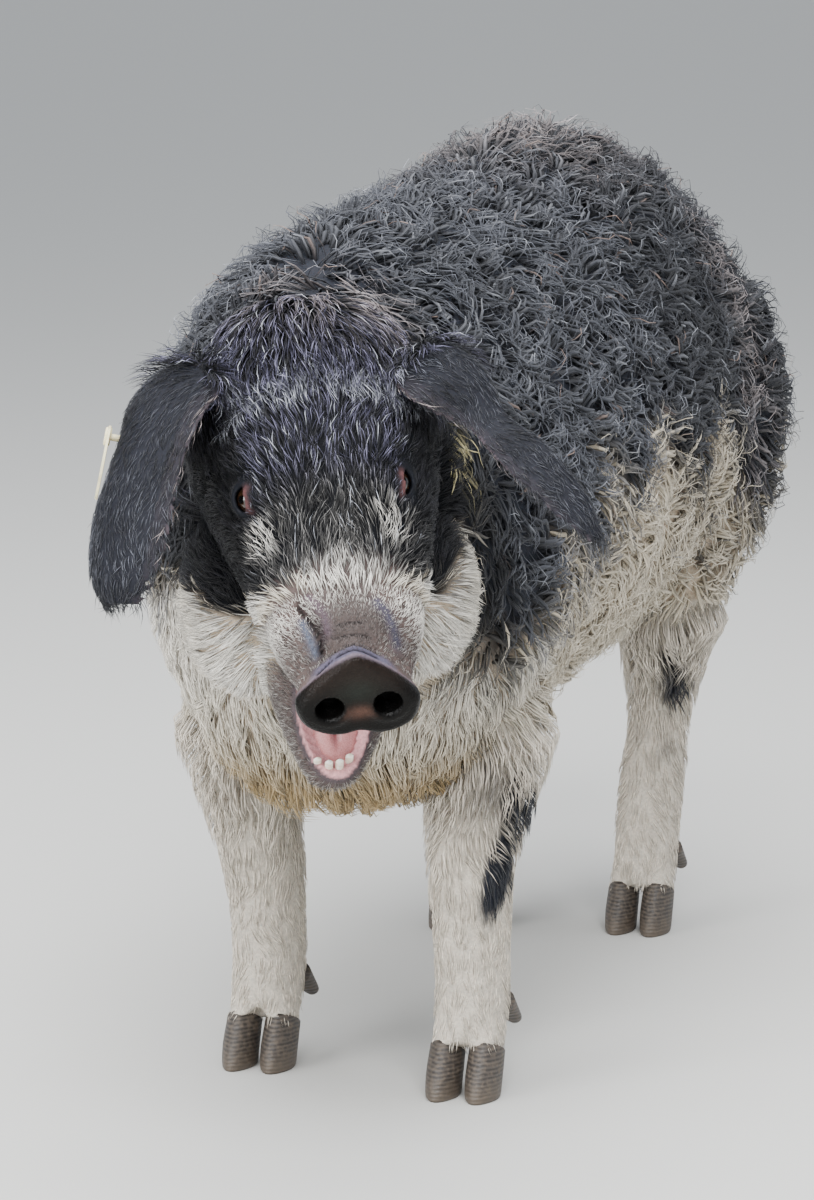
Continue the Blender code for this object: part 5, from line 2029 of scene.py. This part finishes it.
class Board:
    """A material's node tree, with short ways to add and link nodes."""

    def __init__(self, name: str) -> None:
        """Makes a material with one Principled shader.

        Args:
            name: the material's name.
        """
        self.material = bpy.data.materials.new(name)
        self.material.use_nodes = True
        self.tree = self.material.node_tree
        self.shader = self.tree.nodes["Principled BSDF"]

    def add(self, kind: str, inputs: dict | None = None, **settings: str) -> bpy.types.Node:
        """Adds a node.

        Args:
            kind: the node's type name after ShaderNode.
            inputs: values or sockets by input name or number.
            settings: the node's own settings.

        Returns:
            The node.
        """
        node = self.tree.nodes.new("ShaderNode" + kind)
        for key, value in settings.items():
            setattr(node, key, value)
        for key, value in (inputs or {}).items():
            self.put(node.inputs[key], value)
        return node

    def put(self, socket: Socket, value: Socket | float | tuple) -> None:
        """Links a socket to another one, or sets its value.

        Args:
            socket: the input.
            value: another node's output, or a plain value.
        """
        if isinstance(value, Socket):
            self.tree.links.new(value, socket)
        else:
            socket.default_value = value

    def shade(self, **inputs: Socket | float | tuple) -> None:
        """Sets or links inputs of the shader, with spaces in their names written as underscores."""
        for key, value in inputs.items():
            self.put(self.shader.inputs[key.replace("_", " ")], value)

    def bump(self, height: Socket, distance: float, strength: float = 1.0) -> Socket:
        """Turns a height in metres into a normal."""
        node = self.add("Bump", {"Height": height, "Distance": distance, "Strength": strength})
        return node.outputs["Normal"]

    def blend(
        self, share: Socket | float, first: Socket | tuple, second: Socket | tuple, mode: Blend = Blend.MIX
    ) -> Socket:
        """Mixes two colours.

        Args:
            share: how much of the second shows.
            first: the colour below.
            second: the colour over it.
            mode: how they mix.

        Returns:
            The mixed colour.
        """
        node = self.add("Mix", data_type="RGBA", blend_type=mode.value)
        self.put(node.inputs[0], share)
        self.put(node.inputs[6], first)
        self.put(node.inputs[7], second)
        return node.outputs[2]

    def noise(self, vector: Socket | None, scale: float, detail: float = 3.0) -> Socket:
        """A noise pattern's height.

        Args:
            vector: where it is read, or None for the default.
            scale: hills a metre.
            detail: how many finer layers it has.

        Returns:
            The height, from 0 to 1.
        """
        inputs = {"Scale": scale, "Detail": detail}
        if vector is not None:
            inputs["Vector"] = vector
        return self.add("TexNoise", inputs).outputs["Fac"]

    def place(self) -> Socket:
        """The object's own coordinates, in metres."""
        return self.add("TexCoord").outputs["Object"]

    def span(self, value: Socket | float, low: float, high: float, start: float, end: float) -> Socket:
        """Maps a value from one range to another."""
        inputs = {"Value": value, "From Min": low, "From Max": high, "To Min": start, "To Max": end}
        return self.add("MapRange", inputs).outputs["Result"]


@dataclass(frozen=True)
class Finish:
    """A material, named for what it is and how its surface was made."""

    name: str

    def material(self) -> bpy.types.Material:
        """Makes the material.

        Returns:
            The material.
        """
        board = Board(self.name)
        self.paint(board)
        return board.material


@dataclass(frozen=True)
class HairFinish(Finish):
    """Solid locks of hair: a satin fibre, finely streaked along its length."""

    roughness: float
    sheen: float

    def paint(self, board: Board) -> None:
        """Keratin hair, coloured by the markings and streaked along each lock.

        Args:
            board: the material's nodes.
        """
        colour = board.add("Attribute", attribute_name="Coat").outputs["Color"]
        strand = board.add("Attribute", attribute_name="Strand").outputs["Vector"]
        # strands about 0.9 mm apart, each even along some 15 mm
        inputs = {0: strand, 1: (1.1, 0.07, 1.0)}
        scaled = board.add("VectorMath", inputs, operation="MULTIPLY").outputs["Vector"]
        streak = board.noise(scaled, 1.0, 3.0)
        dimmed = board.blend(1.0, colour, board.span(streak, 0.3, 0.7, 0.5, 1.45), Blend.MULTIPLY)
        # the streaks break the highlight up, so that the eye sees a lock as many fine hairs
        board.shade(Base_Color=dimmed, Roughness=self.roughness, Sheen_Weight=self.sheen, Sheen_Roughness=0.4)
        board.shade(Specular_IOR_Level=0.3, Normal=board.bump(streak, 0.0006, 0.7))


@dataclass(frozen=True)
class SkinFinish(Finish):
    """Pig's skin: pores under the coat, and a finely grained moist disc."""

    def paint(self, board: Board) -> None:
        """Skin coloured by the markings, with pores, fine folds and a moist snout.

        Args:
            board: the material's nodes.
        """
        place = board.place()
        colour = board.add("Attribute", attribute_name="Hide").outputs["Color"]
        wet = board.add("Attribute", attribute_name="Wet").outputs["Fac"]
        fine = board.noise(place, 420.0, 5.0)
        broad = board.noise(place, 60.0, 3.0)
        toned = board.blend(1.0, colour, board.span(fine, 0.3, 0.7, 0.8, 1.18), Blend.MULTIPLY)
        toned = board.blend(1.0, toned, board.span(broad, 0.3, 0.7, 0.88, 1.1), Blend.MULTIPLY)
        grain = board.add("TexVoronoi", {"Vector": place, "Scale": 620.0}).outputs["Distance"]
        height = board.add("Math", {0: grain, 1: fine}, operation="ADD").outputs["Value"]
        # pores and folds give the hide a dull, uneven look, and the wet disc catches small sharp glints
        board.shade(
            Base_Color=toned,
            Roughness=board.span(wet, 0.0, 1.0, 0.68, 0.16),
            Specular_IOR_Level=0.09,
            Subsurface_Weight=0.06,
            Subsurface_Radius=(0.004, 0.0015, 0.001),
            Normal=board.bump(height, 0.0006, 0.55),
        )


@dataclass(frozen=True)
class EyeFinish(Finish):
    """A dark brown wet eye."""

    def paint(self, board: Board) -> None:
        """Cornea over a brown iris and a black pupil, by the stored angle from the gaze.

        Args:
            board: the material's nodes.
        """
        angle = board.add("Attribute", attribute_name="Gaze").outputs["Fac"]
        fibre = board.noise(board.place(), 900.0, 4.0)
        iris = board.blend(fibre, opaque("#0f0906"), opaque("#33200f"))
        white = board.blend(board.span(angle, 0.6, 0.72, 0.0, 1.0), iris, opaque("#35261f"))
        pupil = board.blend(board.span(angle, 0.24, 0.3, 0.0, 1.0), (0.002, 0.002, 0.002, 1), white)
        # the clear layer gives one small bright glint over a deep brown
        board.shade(Base_Color=pupil, Roughness=0.06, Coat_Weight=1.0, Coat_Roughness=0.02, IOR=1.38)


@dataclass(frozen=True)
class HornFinish(Finish):
    """Hoof horn: dark keratin in growth rings, dull and scuffed towards the sole."""

    def paint(self, board: Board) -> None:
        """Dark horn with growth rings, paler scuffs and a dusty lower edge.

        Args:
            board: the material's nodes.
        """
        place = board.place()
        apart = board.add("SeparateXYZ", {0: place})
        ring_inputs = {"Vector": place, "Scale": 90.0, "Distortion": 2.0, "Detail": 2.0}
        ring = board.add("TexWave", ring_inputs, bands_direction="Z").outputs["Fac"]
        grain = board.noise(place, 240.0, 5.0)
        horn = board.blend(ring, opaque("#2b2724"), opaque("#4a433d"))
        horn = board.blend(board.span(grain, 0.45, 0.75, 0.0, 0.55), horn, opaque("#76695b"))
        low = board.span(apart.outputs["Z"], 0.02, 0.0, 0.0, 0.7)
        horn = board.blend(low, horn, opaque("#5e5347"))
        height = board.add("Math", {0: ring, 1: grain}, operation="ADD").outputs["Value"]
        # rings and scuffs give a low sheen that breaks into patches towards the sole
        board.shade(Base_Color=horn, Roughness=board.span(grain, 0.3, 0.7, 0.42, 0.68))
        board.shade(Normal=board.bump(height, 0.0005, 0.6))


@dataclass(frozen=True)
class ToothFinish(Finish):
    """Tooth enamel, warm at the gum."""

    def paint(self, board: Board) -> None:
        """Ivory enamel with a little translucence.

        Args:
            board: the material's nodes.
        """
        stain = board.noise(board.place(), 260.0, 3.0)
        colour = board.blend(board.span(stain, 0.35, 0.75, 0.0, 1.0), opaque("#f3efe6"), opaque("#d9c9a8"))
        # light goes a little way in, so that the enamel looks deep and warm, not painted
        board.shade(Base_Color=colour, Roughness=0.22, Subsurface_Weight=0.15)
        board.shade(Subsurface_Radius=(0.002, 0.0015, 0.001), Coat_Weight=0.4)


@dataclass(frozen=True)
class TongueFinish(Finish):
    """A moist pink tongue with fine papillae, painted darker in its groove and towards its back as painted
    shade.
    """

    def paint(self, board: Board) -> None:
        """Moist pink skin with papillae.

        Args:
            board: the material's nodes.
        """
        place = board.place()
        spots = board.add("TexVoronoi", {"Vector": place, "Scale": 900.0}).outputs["Distance"]
        groove = board.add("Attribute", attribute_name="Groove").outputs["Fac"]
        colour = board.blend(spots, opaque("#d99c9b"), opaque("#c27c7d"))
        # painted shade in the groove and towards the tongue's back
        colour = board.blend(groove, colour, opaque("#7d3f43"))
        # fine bumps under a moist film give many small glints, with no hard edge
        board.shade(Base_Color=colour, Roughness=0.28, Subsurface_Weight=0.2)
        board.shade(Subsurface_Radius=(0.005, 0.002, 0.0015), Normal=board.bump(spots, 0.0004, 0.6))


@dataclass(frozen=True)
class TagFinish(Finish):
    """Moulded polyurethane of an ear tag, weathered and a little grimy."""

    def paint(self, board: Board) -> None:
        """Cream moulded plastic with fine grain, scratches and dull grime.

        Args:
            board: the material's nodes.
        """
        place = board.place()
        grime = board.noise(place, 110.0, 5.0)
        grain = board.noise(place, 1500.0, 2.0)
        share = board.span(grime, 0.48, 0.75, 0.0, 0.55)
        colour = board.blend(share, opaque("#e9dfb6"), opaque("#9d8d64"))
        # a fine grain spreads the highlight, and grime dulls it in patches
        board.shade(Base_Color=colour, Roughness=board.span(grime, 0.3, 0.7, 0.38, 0.6))
        board.shade(Normal=board.bump(grain, 0.0002, 0.5), Subsurface_Weight=0.05)


@dataclass(frozen=True)
class FloorFinish(Finish):
    """A plain pale floor."""

    def paint(self, board: Board) -> None:
        """Pale matt floor."""
        # no sheen, so that only the soft shadows show
        board.shade(Base_Color=(0.62, 0.62, 0.6, 1), Roughness=0.85)


def dress(thing: Thing, material: bpy.types.Material) -> None:
    """Gives an object one material."""
    thing.data.materials.clear()
    thing.data.materials.append(material)


def keep_value(thing: Thing, name: str, values: Rows) -> None:
    """Stores one number for each corner of an object's mesh."""
    layer = thing.data.attributes.new(name, "FLOAT", "POINT")
    layer.data.foreach_set("value", values.astype(np.float32))


def carry(thing: Thing, slot: str, nodes: tuple = ()) -> None:
    """Makes a piece ride on the pig, logs its slot's name and hides the nodes that it stands for.

    Args:
        thing: the object.
        slot: the finish slot's name.
        nodes: the nodes that it stands for.
    """
    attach(thing, "root")
    if nodes:
        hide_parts(*nodes)
    LOG.info("%s: %d faces, slot %s", thing.name, len(thing.data.polygons), slot)


class Body:
    """The skin and the coat."""

    def build(self) -> None:
        """Makes the skin, stores its markings and grows the coat."""
        skin = Skin(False).build()
        hide = Hide()
        points = read_points(skin)
        regions = hide.regions(points)
        colours, wet = hide.skin(points, regions)
        layer = skin.data.attributes.new("Hide", "FLOAT_COLOR", "POINT")
        rows = np.ones((len(points), 4), np.float32)
        rows[:, :3] = colours
        layer.data.foreach_set("color", rows.ravel())
        keep_value(skin, "Wet", wet)
        dress(skin, SkinFinish("pored skin, moist at the snout").material())
        legs = [f"leg_{leg.name}" for leg in LEGS]
        nodes = ("torso", "neck", "head", "jaw", "ear_left", "ear_right", "tail", *legs)
        carry(skin, "black_coat", nodes)
        fibre = HairFinish("grown hair, streaked along each lock", 0.56, 0.05).material()
        for piece in Coat(skin, hide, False).build():
            dress(piece, fibre)
            carry(piece, "black_coat")


@dataclass
class Eyes:
    """Both eyeballs, with a gently bulging cornea."""

    segments: int = 40
    # Height of the cornea's bulge, its reach as an angle from the gaze, and how far the ball is set in
    bulge: float = 0.0009
    bulge_reach: float = 0.42
    inset: float = 0.0004

    def build(self) -> None:
        """Makes each eye, looking out and a little forward."""
        finish = EyeFinish("wet cornea over a brown iris").material()
        for side, name in ((1, "eye_right"), (-1, "eye_left")):
            frame = HEAD_POSE.matrix() @ EYE.frame(side)
            eye = ball(f"{name}_ball", frame, Vector(), Vector((1, 1, 1)) * EYE.radius, self.segments)
            points = read_points(eye)
            middle = np.array(HEAD_POSE.matrix() @ EYE.place(side))
            gaze = np.array((frame.to_3x3() @ Vector((1, 0, 0))).normalized())
            out = unit(points - middle)
            angle = np.arccos(np.clip(out @ gaze, -1, 1))
            bulge = self.bulge * np.exp(-((angle / self.bulge_reach) ** 2))
            write_points(eye, points + out * (bulge - self.inset)[:, None])
            keep_value(eye, "Gaze", angle)
            dress(eye, finish)
            carry(eye, "eye_brown", (name,))


@dataclass
class Mouth:
    """The tongue and the four front teeth of the lower jaw."""

    tongue_place: Vector = Vector((0.014, -0.066, -0.094))
    tongue_radii: Vector = Vector((0.021, 0.036, 0.01))
    tongue_slope: float = math.radians(30)
    groove_width: float = 0.0035
    groove_depth: float = 0.0035
    # Teeth: how many, how far apart, how far the row curves back, height above and below the gum, lean,
    # half width, half thickness, corners of a ring
    count: int = 4
    span: float = 0.0085
    arch: float = 0.0022
    length: float = 0.014
    root: float = 0.006
    lean: float = 0.35
    wide: float = 0.0036
    deep: float = 0.003
    corners: int = 14
    tooth_place: Vector = Vector((0.018, -0.029, -0.111))

    def build(self) -> None:
        """Makes both and dresses them."""
        self.tongue()
        self.teeth()

    def tongue(self) -> None:
        """The tongue, with a groove along its middle."""
        slope = Matrix.Rotation(-self.tongue_slope, 4, "X")
        frame = HEAD_POSE.matrix() @ Matrix.Translation(self.tongue_place) @ slope
        tongue = ball("tongue_flesh", frame, Vector(), self.tongue_radii, 48)
        points = read_points(tongue)
        local = within(points, frame)
        middle = np.exp(-((local[:, 0] / self.groove_width) ** 2)) * (local[:, 2] > 0)
        groove = middle * ramp(local[:, 1], 0.034, 0.01)
        write_points(tongue, points - np.array(frame)[:3, 2] * (self.groove_depth * groove)[:, None])
        # the groove and the tongue's back are kept for painted shade
        keep_value(tongue, "Groove", np.maximum(groove, 0.85 * ramp(local[:, 1], 0.014, -0.02)))
        dress(tongue, TongueFinish("moist tongue with papillae").material())
        carry(tongue, "mouth_skin", ("tongue",))

    def teeth(self) -> None:
        """The incisors: flattened pegs with a chisel edge."""
        frame = HEAD_POSE.matrix()
        rings, sides, faces, points = 7, self.corners, [], []
        for k in range(self.count):
            along = k - (self.count - 1) / 2
            root = self.tooth_place + Vector((self.span * along, -self.arch * along**2, 0))
            start = len(points)
            for j in range(rings):
                t = j / (rings - 1)
                blunt = math.sqrt(max(1 - (max(t - 0.8, 0) / 0.21) ** 2, 0.02))
                wide = self.wide * (1 - 0.1 * t) * blunt
                deep = self.deep * (1 - 0.45 * t) * blunt
                rise = (self.length + self.root) * t - self.root
                middle = root + Vector((0, max(rise, 0) * self.lean, rise))
                for a in turns(sides):
                    points.append(frame @ (middle + Vector((wide * math.cos(a), deep * math.sin(a), 0))))
            for j in range(rings - 1):
                ring = start + j * sides
                for i in range(sides):
                    a, b = ring + i, ring + (i + 1) % sides
                    faces.append((a, b, b + sides, a + sides))
            for ring in (start, start + (rings - 1) * sides):
                faces.append(tuple(range(ring, ring + sides)))
        teeth = mesh_of("teeth", points, faces)
        dress(teeth, ToothFinish("worn tooth enamel").material())
        carry(teeth, "tag_cream")


@dataclass
class Feet:
    """The claws and dewclaws of the four feet."""

    # Dewclaws: root beside and behind the foot line, length, droop, radii at root and tip, turn outwards
    root: Vector = Vector((0.02, 0.026, 0.075))
    length: float = 0.04
    droop: float = math.radians(38)
    radii: tuple = (0.0125, 0.006)
    turn: float = 0.15

    def build(self) -> None:
        """Makes every claw, each in place of its solid."""
        finish = HornFinish("hoof horn, grown in rings and scuffed").material()
        for leg in LEGS:
            for inner, word in ((1, "inner"), (-1, "outer")):
                claw = self.claw(leg, inner)
                claw.name = f"horn_{leg.name}_{word}"
                small = self.dewclaw(leg, inner)
                small.name = f"small_horn_{leg.name}_{word}"
                for thing, node in ((claw, "claw"), (small, "dewclaw")):
                    dress(thing, finish)
                    carry(thing, "horn", (f"{node}_{leg.name}_{word}",))

    def claw(self, leg: Leg, inner: int) -> Thing:
        """One claw, from its flat sole to the slanted coronet.

        Args:
            leg: the leg.
            inner: 1 for the inner toe, -1 for the outer one.

        Returns:
            A closed form.
        """
        rings = []
        x = leg.side * (leg.foot_out - inner * TOE.out)
        for t in (0.0, 0.03, 0.1, 0.25, 0.45, 0.65, 0.85, 0.97, 1.0):
            ring = []
            trim = 0.0016 if t == 0.0 else (0.0004 if t == 0.03 else (0.001 if t == 1.0 else 0.0))
            for a in turns(28):
                # the height of the coronet here, then the station at the ring's height
                _, back, _, length = catmull(TOE.rings, 0.02)
                y = back + length * math.sin(a)
                height = t * (TOE.coronet - GAP / 2 - y * math.tan(TOE.slope))
                _, back, half, length = catmull(TOE.rings, min(height, 0.08))
                point = 1 + 0.1 * max(-math.sin(a), 0) ** 3
                px = (half - trim) * bent(math.cos(a), 0.9) * (1 - 0.18 * max(-math.sin(a), 0) ** 2)
                py = back + (length - trim) * math.sin(a) * point * 0.95
                ring.append(body_x(Vector((x + px, leg.foot_y + py, height))))
            rings.append(ring)
        return loft("claw", rings)

    def dewclaw(self, leg: Leg, inner: int) -> Thing:
        """One dewclaw, a short blunt cone.

        Args:
            leg: the leg.
            inner: 1 for the inner toe, -1 for the outer one.

        Returns:
            A closed form.
        """
        out = leg.side * (leg.foot_out - inner * self.root.x)
        place = Vector((out, leg.foot_y + self.root.y, self.root.z))
        turn = -inner * leg.side * self.turn
        way = Vector((turn, math.cos(self.droop), -math.sin(self.droop))).normalized()
        side = way.cross(Vector((0, 0, 1))).normalized()
        over = side.cross(way)
        rings = []
        for i in range(12):
            t = i / 11
            radius = self.radii[0] + (self.radii[1] - self.radii[0]) * t
            radius *= math.sqrt(max(1 - (max(t - 0.86, 0) / 0.15) ** 2, 0.03))
            ring = []
            for a in turns(18):
                round_it = side * math.cos(a) + over * (0.85 * math.sin(a))
                ring.append(body_x(place + way * (self.length * 0.98 * t) + round_it * radius))
            rings.append(ring)
        return loft("dewclaw", rings)


@dataclass
class EarTag:
    """The plain ear tag: a rounded plate with its pin, and the button on the pin's far end."""

    size: Vector = Vector((0.044, 0.0024, 0.058))
    pin_radius: float = 0.0028
    button_radius: float = 0.013
    # Shares along and across the ear where the pin passes, and the pin's half length
    along: float = 0.41
    across: float = -0.8
    reach: float = 0.014
    # The pin's way out of the ear and the way in which the plate hangs
    way: Vector = Vector((-0.93, -0.3, 0.2)).normalized()
    hang: Vector = Vector((0.05, 0.05, -1.0))
    # The solid ear under the tag: places along it and half widths, and its cup
    ear_span: tuple = (
        (0, 0.034), (0.15, 0.05), (0.35, 0.061), (0.6, 0.056), (0.82, 0.036), (0.95, 0.017), (1, 0.007),
    )
    ear_cup: float = 0.52

    def pin_ends(self) -> tuple[Vector, Vector]:
        """The ends of the pin through the right ear's outer edge, outer end last.

        Returns:
            The two ends.
        """
        place, _, across, back = EARS[0].frame(self.along)
        span = catmull(self.ear_span, self.along)[1]
        middle = place + span * (across * self.across + back * self.ear_cup * (1 - self.across**2))
        return middle - self.way * self.reach, middle + self.way * self.reach * 0.35

    def build(self) -> None:
        """Makes plate and button, each in place of its solid."""
        finish = TagFinish("moulded tag plastic, weathered").material()
        start, end = self.pin_ends()
        down = (self.hang - self.way * self.hang.dot(self.way)).normalized()
        across = down.cross(self.way)
        middle = end + down * (self.size.z * 0.36)
        outline = []
        for a in turns(40):
            x, z = bent(math.cos(a), 0.35) * self.size.x / 2, bent(math.sin(a), 0.35) * self.size.z / 2
            # shoulders narrow towards the pin
            x *= 1 - 0.45 * float(ramp(-z, self.size.z * 0.18, self.size.z * 0.5))
            outline.append(middle + across * x + down * z)
        rings = []
        for share, shrink in ((-0.5, 0.97), (-0.38, 1.0), (0.38, 1.0), (0.5, 0.97)):
            lift = self.way * (self.size.y * share)
            rings.append([middle + (p - middle) * shrink + lift for p in outline])
        plate = loft("tag_plate_body", rings)
        pin = self.stud(start, end, self.pin_radius, 0.0)
        boss = self.stud(end - self.way * 0.0022, end + self.way * 0.003, 0.0075, 0.0008)
        combine(plate, [pin, boss], Join.UNION)
        plate.data.shade_smooth()
        plate.data.set_sharp_from_angle(angle=math.radians(40))
        dress(plate, finish)
        carry(plate, "tag_cream", ("tag_plate",))
        face = start - self.way * GAP
        button = self.stud(face - self.way * self.size.y, face, self.button_radius, 0.0005)
        button.name = "tag_button_body"
        dress(button, finish)
        carry(button, "tag_cream", ("tag_button",))

    def stud(self, start: Vector, end: Vector, radius: float, round_edge: float) -> Thing:
        """A short round bar between two points, with softened edges.

        Args:
            start: where it begins.
            end: where it ends.
            radius: its radius.
            round_edge: how far its edge is rounded.

        Returns:
            The new object.
        """
        way = (end - start).normalized()
        side = way.cross(Vector((0, 0, 1))).normalized()
        over = side.cross(way)
        length = (end - start).length
        rings = []
        for t, trim in ((0, round_edge), (round_edge, 0), (length - round_edge, 0), (length, round_edge)):
            if round_edge == 0.0 and trim == 0 and 0 < t < length:
                continue
            ring = []
            for a in turns(32):
                ring.append(start + way * t + (side * math.cos(a) + over * math.sin(a)) * (radius - trim))
            if not rings or (Vector(ring[0]) - Vector(rings[-1][0])).length > 1e-6:
                rings.append(ring)
        return loft("stud", rings)


@dataclass
class Studio:
    """The floor, the lights and the camera."""

    # Camera, fitted to the photograph's outline
    camera_place: Vector = Vector((1.2401, -4.6007, 1.1))
    camera_way: Vector = Vector((-0.2722, 0.9507, -0.1487))
    lens: float = 159.4
    # Lights: name, place, size and power
    lights: tuple = (
        ("key", (1.0, -3.6, 3.8), 3.0, 410), ("fill", (-2.4, -4.2, 1.6), 2.6, 200),
        ("top", (-0.2, 0.4, 4.2), 3.4, 200),
    )

    def build(self) -> None:
        """Makes the pale floor, the soft lights and the fitted camera."""
        reach = 90.0
        corners = [(-reach, -reach, 0), (reach, -reach, 0), (reach, reach, 0), (-reach, reach, 0)]
        floor = mesh_of("floor", corners, [(0, 1, 2, 3)])
        dress(floor, FloorFinish("matt painted floor").material())
        world = bpy.data.worlds.new("studio")
        world.use_nodes = True
        world.node_tree.nodes["Background"].inputs["Color"].default_value = (0.86, 0.9, 0.96, 1)
        world.node_tree.nodes["Background"].inputs["Strength"].default_value = 0.8
        bpy.context.scene.world = world
        for name, place, size, power in self.lights:
            self.light(name, Vector(place), size, power)
        data = bpy.data.cameras.new("camera")
        data.lens = self.lens
        data.sensor_width = 36.0
        data.sensor_fit = "AUTO"
        data.clip_end = 300.0
        camera = bpy.data.objects.new("camera", data)
        camera.location = self.camera_place
        camera.rotation_euler = self.camera_way.to_track_quat("-Z", "Y").to_euler()
        bpy.context.scene.collection.objects.link(camera)
        bpy.context.scene.camera = camera

    def light(self, name: str, place: Vector, size: float, power: float) -> None:
        """Adds a soft square light that faces the pig.

        Args:
            name: the lamp's name.
            place: where it stands.
            size: how wide it is.
            power: how bright it is, in watts.
        """
        data = bpy.data.lights.new(name, "AREA")
        data.shape = "SQUARE"
        data.size = size
        data.energy = power
        lamp = bpy.data.objects.new(name, data)
        lamp.location = place
        lamp.rotation_euler = (Vector((0, -0.2, 0.45)) - place).to_track_quat("-Z", "Y").to_euler()
        bpy.context.scene.collection.objects.link(lamp)


def main() -> None:
    """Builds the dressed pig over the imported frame."""
    logging.basicConfig(level=logging.INFO, format="%(name)s: %(message)s")
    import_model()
    for section in (Studio, Body, Eyes, Mouth, Feet, EarTag):
        LOG.info("building %s", section.__name__)
        section().build()


if __name__ == "__main__":
    main()
